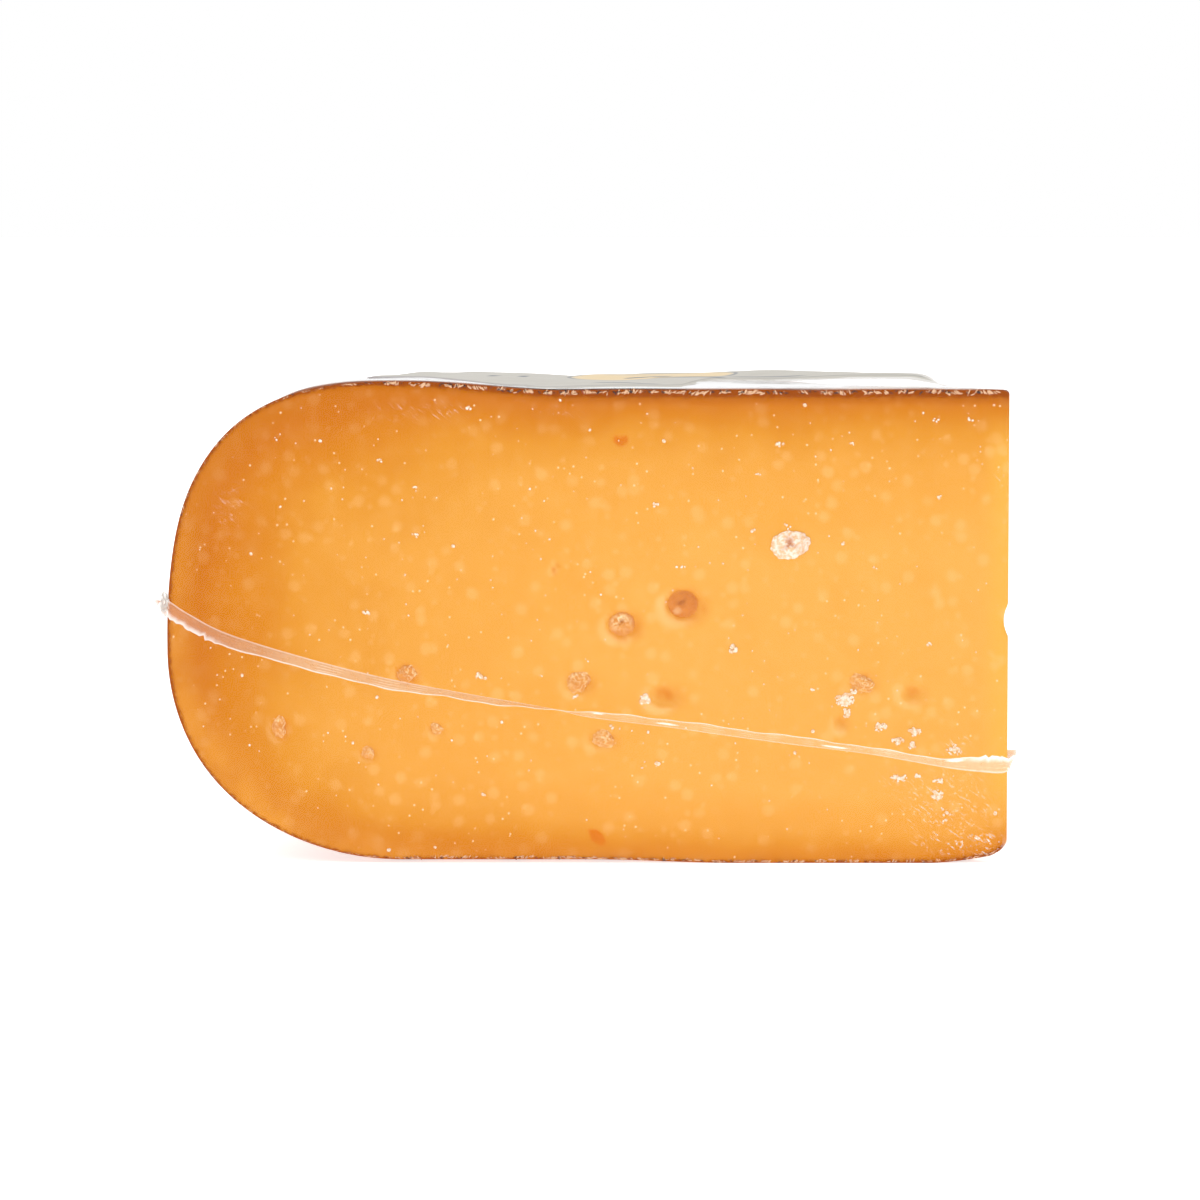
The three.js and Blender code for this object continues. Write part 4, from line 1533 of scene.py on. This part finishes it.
# ---- the label
@dataclass(frozen=True)
class LabelFinish:
    """The label's print in plain fields of colour, with painted shade along its edge towards the rim end.
    Millimetres along the wedge and across it.
    """

    silver: Colour = hue(190, 185, 174)
    bright_silver: Colour = hue(214, 212, 204)
    cream: Colour = hue(232, 206, 158)
    navy: Colour = hue(84, 92, 106)
    slate: Colour = hue(140, 140, 140)
    # Painted shade along the label's edge, towards the rim end.
    worn: Colour = hue(158, 148, 150)
    oval: tuple[float, float, float, float] = (84.0, 8.0, 18.5, 11.0)
    bars: tuple[tuple[float, float, float, float], ...] = (
        (83.5, 3.0, 5.0, 1.3), (73.0, 0.0, 7.5, 1.05), (88.0, 12.0, 8.0, 0.7), (82.0, -17.5, 7.0, 0.8),
        (56.0, 3.0, 8.0, 0.6), (118.0, 8.0, 1.2, 12.0),
    )
    border_inset: float = 2.2
    worn_from: float = 98.0
    worn_to: float = 112.0
    relief: float = 0.35

    def build(self) -> Material:
        """Make the material."""
        shader = Shader("printed_label")
        along, across, edge = (shader.stored(name) for name in ("label_along", "label_across", "label_edge"))
        streaks = shader.grain(5.0, 4.0, shader.place((0.25, 1.0, 1.0)))
        brushed = shader.math("MULTIPLY_ADD", streaks, 0.5, -0.1)
        colour = shader.blend(brushed, self.silver, self.bright_silver)

        def off(value: Socket, middle: float) -> Socket:
            """Measure how far a number is from a middle, either way."""
            return shader.math("ABSOLUTE", shader.math("SUBTRACT", value, middle))

        def reach(place: tuple[float, float, float, float], power: float) -> Socket:
            """Measure from the middle of a field of ink.

            Args:
                place: Its middle and its half sizes.
                power: 2 for an oval and more for a bar.

            Returns:
                The distance, about 1 on the field's edge.
            """
            x, y = (
                shader.math("POWER", shader.math("DIVIDE", off(value, middle), half), power)
                for value, middle, half in ((along, place[0], place[2]), (across, place[1], place[3]))
            )
            return shader.math("ADD", x, y)

        far = reach(self.oval, 2.0)
        colour = shader.blend(shader.rise(far, 1.1, 0.86), colour, self.cream)
        colour = shader.blend(shader.rise(off(far, 1.08), 0.07, 0.03), colour, self.slate)
        for place in self.bars:
            ink = self.navy if place[3] > 1.0 else self.slate
            colour = shader.blend(shader.rise(reach(place, 4.0), 2.2, 0.3), colour, ink)
        border = shader.rise(off(edge, self.border_inset), 0.3, 0.1, 0.0, 0.6)
        colour = shader.blend(border, colour, self.slate)
        # Painted shade along the label's edge, towards the rim end.
        swept = shader.rise(along, self.worn_from, self.worn_to)
        colour = shader.blend(shader.times(shader.rise(edge, 2.4, 0.7), swept), colour, self.worn)
        height = shader.math("ADD", shader.grain(7.0, 2.0), shader.times(shader.grain(0.5), 0.1))
        return shader.plain(colour, 0.42, shader.bump(height, self.relief), gloss=0.35)


@dataclass
class PrintedLabel:
    """The printed label on the film over the top face, arched by the air beneath it."""

    wheel: Wheel
    seat: Seat
    finish: LabelFinish = LabelFinish()
    start: float = 14.5
    end: float = 144.0
    front_edge: tuple[tuple[float, float], ...] = (
        (14.5, 4.6), (40.0, 12.4), (62.0, 18.4), (67.5, 17.0), (71.5, 3.4), (74.0, 2.8), (101.0, 2.8),
        (103.0, 3.4), (106.0, 9.5), (124.0, 12.5), (136.0, 16.5), (144.0, 22.0),
    )
    back_inset: float = 2.6
    corner: float = 7.0
    lift: float = 0.4
    thick: float = 0.1
    columns: int = 200
    rows: int = 41

    def build(self) -> None:
        """Model and dress the label."""
        piece, u, v = add_grid(self.columns, self.rows)
        ends = 0.5 - 0.5 * np.cos(u * math.pi)
        along = self.start + (0.35 * ends + 0.65 * u) * (self.end - self.start)
        radius = along + self.wheel.setback
        from_end = np.minimum(along - self.start, self.end - along)
        widest = 0.94 * radius * math.sin(self.wheel.turn)
        front = np.minimum(np.interp(along, *zip(*self.front_edge)), widest)
        first = np.arcsin(front / radius)
        last = self.wheel.turn - np.arcsin(self.back_inset / radius)
        rounded = Wheel.corner_drop(from_end, self.corner)
        trim = np.minimum(rounded, 0.46 * (last - first) * radius) / radius
        first, last = first + trim, last - trim
        turn = first + v * (last - first)
        places = np.column_stack([-radius * np.cos(turn), radius * np.sin(turn), self.wheel.top(radius)])
        places = self.wheel.settle(places, with_air=True)
        crinkle = ripple(places, 9.0, 3.0) * 0.16 * smooth(np.minimum(v, 1.0 - v), 0.0, 0.15)
        side = np.minimum(np.minimum(turn - first, last - turn) * radius, from_end)
        places[:, 2] += 0.12 + self.lift * smooth(side, 0.0, 3.0) + crinkle
        half = self.wheel.turn / 2.0
        store(
            piece,
            label_along=radius * np.cos(turn - half) - self.wheel.setback,
            label_across=radius * np.sin(turn - half),
            label_edge=side,
        )
        move_vertices(piece, self.seat.from_axis(places))
        if vertices_of(piece, "normal")[:, 2].mean() < 0.0:
            with whole_mesh(piece):
                bpy.ops.mesh.flip_normals()
        apply_modifier(piece, "SOLIDIFY", thickness=self.thick * MM, offset=1.0, use_even_offset=True)
        finish_piece(piece, "top_label_print", self.finish.build(), 40.0)
        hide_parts(LABEL_NODE)


# ---- the film
@dataclass(frozen=True)
class FilmFinish:
    """The clear shrink film, milky where it is scuffed or has creases, and milky over the top, where the
    milkiness is partly painted sheen.
    """

    haze: Colour = hue(250, 246, 240)
    mirrored: Colour = hue(255, 255, 255)
    rough: float = 0.1
    relief: float = 0.3
    mirror_ior: float = 1.22
    creased_gain: float = 4.0
    most_gloss: float = 0.06
    most_creased_gloss: float = 1.5

    def build(self) -> Material:
        """Make the material."""
        shader = Shader("clear_shrink_film")
        creased = shader.stored("creased")
        bump = shader.bump(shader.grain(5.0, 1.0, shader.place((1.0, 1.0, 0.28))), self.relief)
        haze = shader.node("ShaderNodeBsdfDiffuse", Color=self.haze)
        clear = shader.node("ShaderNodeBsdfTransparent")
        gloss = shader.node("ShaderNodeBsdfGlossy", Color=self.mirrored, Roughness=self.rough, Normal=bump)
        speckle = shader.rise(shader.grain(0.6, 1.0), 0.62, 0.75)
        threads = shader.rise(shader.grain(0.5, 2.0, shader.place((5.0, 1.0, 1.0), 38.0)), 0.58, 0.75)
        worn = shader.math("MULTIPLY_ADD", speckle, 0.35, shader.times(threads, 0.6))
        marks = shader.times(shader.stored("scuffed"), worn)
        milky = shader.math("MINIMUM", shader.math("MULTIPLY_ADD", creased, 0.95, marks), 1.0)
        mirror = shader.node("ShaderNodeFresnel", IOR=self.mirror_ior, Normal=bump).outputs[0]
        behind = shader.node("ShaderNodeNewGeometry").outputs["Backfacing"]
        inside = shader.times(behind, 2.0 * self.creased_gain + 1.0)
        outside = shader.math("MULTIPLY_ADD", creased, self.creased_gain, 1.0)
        outside = shader.math("SUBTRACT", outside, inside)
        share = shader.times(mirror, shader.math("MAXIMUM", outside, 0.0))
        most = shader.math("MULTIPLY_ADD", creased, self.most_creased_gloss, self.most_gloss)
        film = shader.mixed(milky, clear, haze)
        return shader.cover(shader.mixed(shader.math("MINIMUM", share, most), film, gloss))


@dataclass
class ShrinkFilm:
    """The film, drawn tight over both cuts and the rim and standing off the top over trapped air."""

    wheel: Wheel
    seat: Seat
    finish: FilmFinish = FilmFinish()
    columns: int = 181
    rows: int = 102
    steps: int = 28
    gap: float = 0.3
    bulge: float = 0.6
    over_crust: tuple[float, float, float, float] = (47.8, 70.0, 6.4, 0.5)
    scuffs: tuple[tuple[float, float, float, float, float], ...] = (
        (13.0, 12.0, 24.0, 19.0, 0.6), (8.0, 4.5, 26.0, 6.0, 1.4), (24.0, 18.0, 12.0, 8.0, 0.3),
        (11.0, 26.0, 9.0, 7.0, 0.4), (1.9, 85.5, 3.0, 4.0, 0.7), (170.0, 78.0, 8.0, 14.0, 0.25),
        (128.0, 99.0, 24.0, 6.0, 0.3), (98.0, 99.0, 14.0, 4.0, 0.25), (92.0, 71.0, 2.0, 16.0, 0.2),
    )

    def build(self) -> None:
        """Model and dress the film."""
        piece, even = SpunWedge(self.wheel, self.columns, self.rows, self.steps).build(with_air=True)
        radius, turn = polar(even)
        front, back = self.wheel.on_cuts(turn)
        up = vertices_of(piece)[:, 2]
        moved = self.drawn_tight(piece, even, front, ~(front | back))
        store(piece, scuffed=self.scuffing(radius - self.wheel.setback, up, front | back))
        store(piece, creased=self.creasing(radius, turn, even[:, 2]) * ~(front | back))
        move_vertices(piece, self.seat.from_axis(moved))
        finish_piece(piece, "shrink_film", self.finish.build(), 60.0)
        piece.visible_shadow = piece.visible_diffuse = False
        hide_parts(CHEESE_NODE)

    def drawn_tight(self, piece: Piece, even: Array, front: Array, between: Array) -> Array:
        """Lay the film over the cheese, loose at the upper rim, proud of the rosette and wrinkled on top.

        Args:
            piece: The film, still on the cheese's own surface.
            even: Its vertices before the wheel settled.
            front: Which of them lie on the front cut.
            between: Which of them lie on neither cut.

        Returns:
            The vertices' new places.
        """
        places, (radius, turn) = vertices_of(piece), polar(even)
        along = radius - self.wheel.setback
        at_rim = fall(self.wheel.rim_radius(even[:, 2]) - radius, 0.5, 2.5)
        loose = smooth(even[:, 2], 58.0, 80.0) * at_rim * fall(turn * radius, 2.0, 9.0)
        moved = places + vertices_of(piece, "normal") * self.gap
        moved[:, :2] *= (1.0 + self.bulge * loose / radius)[:, None]
        crust_along, crust_up, wide, proud = self.over_crust
        near = np.hypot(along - crust_along, places[:, 2] - crust_up) / wide
        moved[:, 1] -= front * proud * fall(near, 0.55, 1.1)
        top = smooth(even[:, 2], self.wheel.shoulder_height - 14.0, self.wheel.shoulder_height - 3.0)
        bare = fall(along, 60.0, 72.0) * fall(turn / self.wheel.turn, 0.3, 0.46)
        moved[:, 2] += (0.06 + 0.14 * bare) * ripple(places * (0.35, 1.0, 1.0), 3.2, 8.0) * top * between
        moved[:, 2] = np.maximum(moved[:, 2], 0.03)
        return moved

    def scuffing(self, along: Array, up: Array, on_cut: Array) -> Array:
        """Decide how scuffed the film is over the cuts.

        Args:
            along: The vertices' distances from the tip.
            up: Their heights.
            on_cut: Which of them lie on a cut.

        Returns:
            How scuffed each vertex is, 0 where it is clear.
        """
        worn = np.zeros(len(along))
        for middle_along, middle_up, wide, high, strength in self.scuffs:
            reach = np.hypot((along - middle_along) / (wide / 2.0), (up - middle_up) / (high / 2.0))
            worn = np.maximum(worn, strength * fall(reach, 0.4, 1.15))
        return worn * on_cut

    def creasing(self, radius: Array, turn: Array, up: Array) -> Array:
        """Decide how much the film has creases at the wedge's corners and along its edges, and how milky it
        is over the top, most towards the front cut, partly as painted sheen.

        Args:
            radius: The vertices' distances from the wheel's axis.
            turn: Their turns from the front cut.
            up: Their heights.

        Returns:
            The share of creases and top milkiness at each vertex, from 0 to 1.
        """
        from_edge = np.minimum(radius * np.sin(turn), radius * np.sin(self.wheel.turn - turn))
        rim = smooth(radius, self.wheel.radius - 30.0, self.wheel.radius - 10.0)
        top = smooth(up, self.wheel.shoulder_height - 8.0, self.wheel.shoulder_height - 2.0)
        pulled = rim * fall(from_edge, 0.6, 3.6) * 1.2
        tip_foot = fall(radius, 4.0, 16.0) * fall(up, 0.0, 7.0)
        # Milky over the top, most towards the front cut: partly the film's own haze, partly painted sheen for
        # the bright band it mirrors.
        band = 0.26 + 0.36 * fall(turn / self.wheel.turn, 0.15, 0.45)
        level = smooth(radius, self.wheel.first_radius + 0.5, self.wheel.first_radius + 3.0)
        return np.clip(pulled + 0.35 * tip_foot + band * level * top, 0.0, 1.0)


@dataclass(frozen=True)
class WeldFinish:
    """The film where it is welded: double, milky and bright along its edges."""

    milk: Colour = hue(230, 192, 156)
    rosy: Colour = hue(190, 122, 82)
    bright: Colour = hue(255, 252, 248)
    # Painted shade in the creases of the knot's folds.
    folded: Colour = hue(168, 162, 156)
    cover: float = 0.42
    sheer_cover: float = 0.16
    bright_cover: float = 0.56
    relief: float = 0.2

    def build(self) -> Material:
        """Make the material."""
        shader = Shader("welded_film")
        across, shine, rosy = (shader.stored(name) for name in ("across", "shine", "rosy"))
        root, rim = shader.rise(across, 0.16, 0.04, 0.0, 0.5), shader.rise(across, 0.85, 0.97)
        rim = shader.math("MAXIMUM", root, rim)
        lines = shader.rise(shader.math("SINE", shader.times(across, 26.0)), 0.35, 0.95)
        broken = shader.rise(shader.grain(6.0), 0.4, 0.6)
        lines = shader.times(lines, broken, shader.rise(rosy, 0.1, 0.0, 0.06, 0.28))
        # The bright edges and lines, and the painted glints with the frayed ends' white.
        bright = shader.math("MAXIMUM", shader.math("MAXIMUM", shader.times(rim, 0.66), lines), shine)
        colour = shader.blend(rosy, self.milk, self.rosy)
        colour = shader.blend(bright, colour, self.bright)
        # Painted shade in the creases of the knot's folds.
        colour = shader.blend(shader.stored("crumpled"), colour, self.folded)
        bare = shader.rise(shader.stored("sheer"), 0.0, 1.0, self.cover, self.sheer_cover)
        alpha = shader.math("MULTIPLY_ADD", bright, self.bright_cover, bare)
        alpha = shader.times(alpha, shader.rise(shader.grain(1.5), 0.2, 0.6, 0.8, 1.1))
        bump = shader.bump(shader.grain(1.2, 3.0), self.relief)
        return shader.plain(colour, 0.22, bump, alpha=shader.math("MINIMUM", alpha, 0.96))


@dataclass
class FilmWeld:
    """The fin along which the film is welded: round the rim, down over the front cut and round the tip.

    A mark on the front cut holds its distance from the tip, its height and the fin's lean in degrees, and a
    glint its distance from the tip, its length and how far across the fin it lies.
    """

    wheel: Wheel
    seat: Seat
    finish: WeldFinish = WeldFinish()
    wide: float = 3.3
    clear: float = 0.5
    thick: float = 0.1
    step: float = 0.7
    rows: int = 13
    past_tip: float = 9.0
    # Painted highlights on the fin.
    glints: tuple[tuple[float, float, float], ...] = (
        (74.8, 3.2, 0.4), (37.9, 3.8, 0.36), (90.0, 1.8, 0.8), (12.0, 2.5, 0.8),
    )
    on_front: tuple[tuple[float, float, float], ...] = (
        (183.3, 57.7, 84.0), (178.9, 54.8, 75.0), (170.2, 50.4, 47.0), (152.7, 45.0, 42.0),
        (135.2, 40.6, 32.0), (117.8, 37.3, 20.0), (100.2, 34.2, 0.0), (91.5, 32.2, -32.0),
        (74.0, 30.0, -42.0), (65.2, 28.7, -53.0), (47.7, 26.3, -50.0), (30.2, 24.1, -45.0),
        (12.6, 21.0, -50.0), (2.8, 19.9, -75.0),
    )

    def build(self) -> None:
        """Model and dress the fin."""
        root, out, lean, along = self.spaced(self.route())
        piece, u, v = add_grid(len(root), self.rows)
        column = np.rint(u * (len(root) - 1)).astype(int)
        upward = unit(np.cross(out, unit(np.gradient(root, axis=0))))
        leaning, standing = np.sin(lean)[:, None], np.cos(lean)[:, None]
        blade = out * standing - upward * leaning
        side = out * leaning + upward * standing
        width, swing = self.widths(along), self.swings(along)
        places = root[column] + blade[column] * (v * width[column])[:, None]
        places += side[column] * (v**2 * swing[column] * 1.6)[:, None] + out[column] * self.clear
        along = along[column]
        store(
            piece,
            across=v,
            shine=self.glinting(along, v),
            rosy=0.9 * smooth(along, 146.0, 182.0),
            sheer=fall(along, 72.0, 112.0) * smooth(along, 18.0, 42.0),
            crumpled=np.zeros(len(v)),
        )
        move_vertices(piece, self.seat.from_axis(places))
        apply_modifier(piece, "SOLIDIFY", thickness=self.thick * MM, offset=0.0)
        piece = join([piece, self.knot()])
        outward(piece)
        finish_piece(piece, "film_weld", self.finish.build(), 60.0)
        piece.visible_shadow = piece.visible_diffuse = False
        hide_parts(FIN_NODE)

    def widths(self, along: Array) -> Array:
        """Make the fin narrow at both ends, wide at the tip and frayed.

        Args:
            along: The stations' distances from the tip.

        Returns:
            The fin's width at each station.
        """
        distance = np.arange(len(along)) * self.step
        width = self.wide * (0.35 + 0.65 * smooth(np.minimum(distance, distance[::-1]), 0.0, 11.0))
        width *= 1.0 + 0.06 * np.sin(distance / 5.0)
        width *= 1.0 - 0.24 * fall(along, 60.0, 110.0) + 0.5 * fall(along, 3.0, 18.0)
        jag = 0.9 * ripple_along(distance, 1.3, 5.0) + 0.7 * ripple_along(distance, 0.6, 25.0)
        return width + self.raggedness(along) * jag

    def swings(self, along: Array) -> Array:
        """Give how far the fin's free edge sways to its side at each station, in waves and puckers."""
        distance = np.arange(len(along)) * self.step
        buckle = 0.10 * np.sin(distance / 3.1) + 0.07 * np.sin(distance / 1.3 + 1.0)
        return buckle + 0.7 * self.raggedness(along) * ripple_along(distance, 1.0, 60.0)

    def route(self) -> Array:
        """Follow the weld from the back of the rim over the front cut to just past the tip.

        Returns:
            Its stations, one row each: the fin's root, the direction out of the cheese, the fin's lean in
            radians and the distance from the tip, which counts on round the rim and is below 0 past the tip.
        """

        def stations(root: Array, out: Array, lean: Array | float, along: Array | float) -> Array:
            """Put a stretch of the route together, one row a station."""
            numbers = [np.broadcast_to(value, len(root)) for value in (np.radians(lean), along)]
            return np.column_stack([root, np.broadcast_to(out, root.shape), *numbers])

        at_rim, at_tip, wheel = self.on_front[0], self.on_front[-1], self.wheel
        turn = np.linspace(wheel.turn * 0.99, 0.0, 150)
        up = at_rim[1] + 2.2 * np.sin(turn * 5.2) - 1.2 * np.sin(turn * 11.0)
        reach = wheel.rim_radius(up) + 0.28
        rim = np.column_stack([-reach * np.cos(turn), reach * np.sin(turn), up])
        bend = np.linspace(0.06, 0.94, 8) * math.pi / 2.0
        corner = np.repeat(rim[-1:], len(bend), axis=0)
        marks = self.smoothed(np.array(self.on_front), 260)
        front = self.seat.on_front(marks[:, 0], marks[:, 1])
        nose_share = np.linspace(0.05, 0.95, 7)
        nose_out = self.level(nose_share * (math.pi - wheel.turn) - math.pi / 2.0)
        middle = wheel.tip_centre * np.array([-math.cos(wheel.turn / 2.0), math.sin(wheel.turn / 2.0)])
        nose = np.column_stack([middle + wheel.tip_radius * nose_out[:, :2], at_tip[1] + 1.2 * nose_share])
        rest = np.linspace(0.1, 1.0, 10)
        back = self.seat.on_back(3.0 + rest * self.past_tip, at_tip[1] + 1.2 + 0.8 * rest)
        past = -1.0 - rest * self.past_tip
        return np.vstack([
            stations(rim, self.level(math.pi - turn), at_rim[2], at_rim[0] + reach * turn),
            stations(corner, self.level(math.pi + bend), at_rim[2], at_rim[0]),
            stations(front, (0.0, -1.0, 0.0), marks[:, 2], marks[:, 0]),
            stations(nose, nose_out, at_tip[2], -nose_share),
            stations(back, (math.sin(wheel.turn), math.cos(wheel.turn), 0.0), at_tip[2], past),
        ])

    def spaced(self, route: Array) -> tuple[Array, Array, Array, Array]:
        """Space the route's stations evenly, with a little room for turning at the corners.

        Args:
            route: The stations.

        Returns:
            Their roots, directions out, leans and distances along.
        """
        steps = np.linalg.norm(np.diff(route[:, :3], axis=0), axis=1)
        turning = np.arccos(np.clip((route[1:, 3:6] * route[:-1, 3:6]).sum(1), -1.0, 1.0))
        room = np.maximum(steps, turning * (self.wide * 0.6)) + 1e-6
        reached = np.concatenate([[0.0], np.cumsum(room)])
        wanted = np.arange(0.0, reached[-1], self.step)
        even = np.column_stack([np.interp(wanted, reached, column) for column in route.T])
        even[:, 2] -= 1e-4 * np.arange(len(even))  # never quite level
        return even[:, :3], unit(even[:, 3:6]), even[:, 6], even[:, 7]

    @staticmethod
    def level(bearing: Array) -> Array:
        """Give level directions of length 1, one row each, from their bearings in radians."""
        return np.column_stack([np.cos(bearing), np.sin(bearing), np.zeros(len(bearing))])

    @staticmethod
    def smoothed(marks: Array, count: int) -> Array:
        """Round a line of marks into a curve through them.

        Args:
            marks: The marks, one row each: two numbers of place and the fin's lean.
            count: How many points to return, the two ends included.

        Returns:
            The curve's points, evenly spaced by place.
        """
        padded = np.vstack([2 * marks[0] - marks[1], marks, 2 * marks[-1] - marks[-2]])
        points = []
        for first, second, third, fourth in zip(padded, padded[1:], padded[2:], padded[3:]):
            for t in np.linspace(0.0, 1.0, 40, endpoint=False):
                square = 2 * first - 5 * second + 4 * third - fourth
                cube = 3 * second - first - 3 * third + fourth
                points.append(0.5 * (2 * second + (third - first) * t + square * t**2 + cube * t**3))
        return along_line(np.array([*points, marks[-1]]), count, measured=2)

    @staticmethod
    def raggedness(along: Array) -> Array:
        """Decide how frayed the fin's free edge is: most near the rim's corner and at the tip."""
        at_corner = smooth(along, 168.0, 176.0) * fall(along, 196.0, 215.0)
        return 0.75 * at_corner + 0.9 * fall(along, 5.0, 12.0)

    def glinting(self, along: Array, across: Array) -> Array:
        """Place the painted glints and the white of the frayed ends.

        Args:
            along: The vertices' distances from the tip.
            across: Their shares of the way from the fin's root to its free edge.

        Returns:
            How bright each vertex is, 0 where the fin is plain.
        """
        shine = np.zeros(len(along))
        for middle, length, row in self.glints:
            reach = np.hypot((along - middle) / length, (across - row) / 0.17)
            shine = np.maximum(shine, fall(reach, 0.5, 1.0))
        frayed = 0.9 * self.raggedness(along) * smooth(across, 0.55, 0.95)
        return np.maximum(shine, frayed)

    def knot(self) -> Piece:
        """Model the gathered, crinkled film where the weld turns the corner of the rim.

        Returns:
            The knot, in place.
        """
        piece, ball = add_ball(5)
        folds = np.abs(ripple(ball * 2.2, 1.0, 12.0)) * 0.8 + np.abs(ripple(ball * 2.2, 0.5, 31.0)) * 0.35
        grown = ball * (0.7 + folds)[:, None] * (0.95, 1.0, 2.5)
        _, up, _ = self.on_front[0]
        middle = np.array([-self.wheel.rim_radius(np.array([up]))[0] - 0.7, -0.2, up - 0.6])
        move_vertices(piece, self.seat.from_axis(grown + middle))
        # Painted shade, grey, in the creases of the folds.
        none, crumpled = np.zeros(len(ball)), 0.8 * fall(folds, 0.2, 0.7)
        shine = 0.7 + 0.3 * smooth(folds, 0.15, 0.5)
        store(piece, across=none + 0.5, shine=shine, rosy=none, sheer=none, crumpled=crumpled)
        return piece


# ---- the studio
@dataclass
class Studio:
    """The pale floor, the even white light round it, two soft lamps and the camera.

    The camera's place is in millimetres along from the tip, away from the front cut and up, its pitch in
    degrees and its lens in millimetres. The floor is in metres. A lamp has a name, a place and a size in
    metres and a power in watts.
    """

    seat: Seat
    camera_along: float = 89.307
    camera_away: float = 1200.0
    camera_up: float = 160.0
    camera_pitch: float = 4.863
    lens: float = 165.37
    sensor: float = 36.0
    sees_from: float = 0.05
    sees_to: float = 100.0
    floor_size: float = 14.0
    floor_colour: Colour = hue(244, 244, 244)
    floor_glow: float = 0.7
    white: Colour = (1.0, 1.0, 1.0, 1.0)
    lamps: tuple[tuple[str, tuple[float, float, float], float, float], ...] = (
        ("key_light", (-0.75, -1.25, 1.15), 0.6, 3.0), ("fill_light", (1.1, -0.9, 0.7), 0.8, 1.0),
    )

    def build(self) -> None:
        """Set the studio up."""
        self.lay_floor()
        self.fill_world()
        self.hang_lamps()
        self.set_camera()
        bpy.context.scene.view_settings.view_transform = "Standard"
        bpy.context.scene.view_settings.look = "None"

    def lay_floor(self) -> None:
        """Lay the plain pale floor."""
        deselect_all()
        bpy.ops.mesh.primitive_plane_add(size=self.floor_size)
        floor = bpy.context.object
        floor.name = "studio_floor"
        shader = Shader("pale_floor")
        glow = {"Emission_Color": self.white, "Emission_Strength": self.floor_glow}
        surface = shader.node("ShaderNodeBsdfPrincipled", Base_Color=self.floor_colour, Roughness=0.9, **glow)
        floor.data.materials.append(shader.cover(surface))

    def fill_world(self) -> None:
        """Fill the surroundings with even white light."""
        world = bpy.data.worlds.new("white_studio")
        world.use_nodes = True
        sky = world.node_tree.nodes["Background"]
        sky.inputs["Color"].default_value = self.white
        sky.inputs["Strength"].default_value = 1.0
        bpy.context.scene.world = world

    def hang_lamps(self) -> None:
        """Hang the soft square lamps, each facing the wedge's middle."""
        for name, place, size, power in self.lamps:
            deselect_all()
            aim = Vector((0.0, 0.0, 0.05)) - Vector(place)
            turn = aim.to_track_quat("-Z", "Y").to_euler()
            bpy.ops.object.light_add(type="AREA", location=place, rotation=turn)
            lamp = bpy.context.object
            lamp.name, lamp.data.size, lamp.data.energy = name, size, power
            lamp.visible_camera = False

    def set_camera(self) -> None:
        """Stand the camera in front of the front cut, a little above the wedge."""
        deselect_all()
        x, y = self.seat.tip_x - self.camera_along, self.seat.front_y - self.camera_away
        turn = (math.radians(90.0 - self.camera_pitch), 0.0, 0.0)
        bpy.ops.object.camera_add(location=(x * MM, y * MM, self.camera_up * MM), rotation=turn)
        camera = bpy.context.object
        camera.name = "camera"
        camera.data.lens = self.lens
        camera.data.sensor_width = self.sensor
        camera.data.clip_start = self.sees_from
        camera.data.clip_end = self.sees_to
        bpy.context.scene.camera = camera


# ---- putting it together
def corners(box: tuple[Sequence[float], Sequence[float]]) -> list[list[float]]:
    """Write a box's two corners as plain lists."""
    return [[float(value) for value in corner] for corner in box]


def main() -> None:
    """Build the wedge and its studio."""
    logging.basicConfig(level=logging.INFO, format="%(name)s %(message)s")
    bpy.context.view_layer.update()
    wheel = Wheel()
    seat = Seat.from_frame(wheel, proudest=0.6)
    CheeseBody(wheel, seat).build()
    EyeNodules(seat).build()
    WhiteCrystals(seat).build()
    RindCrumbs(wheel, seat).build()
    PrintedLabel(wheel, seat).build()
    ShrinkFilm(wheel, seat).build()
    FilmWeld(wheel, seat).build()
    Studio(seat).build()


if __name__ == "__main__":
    main()
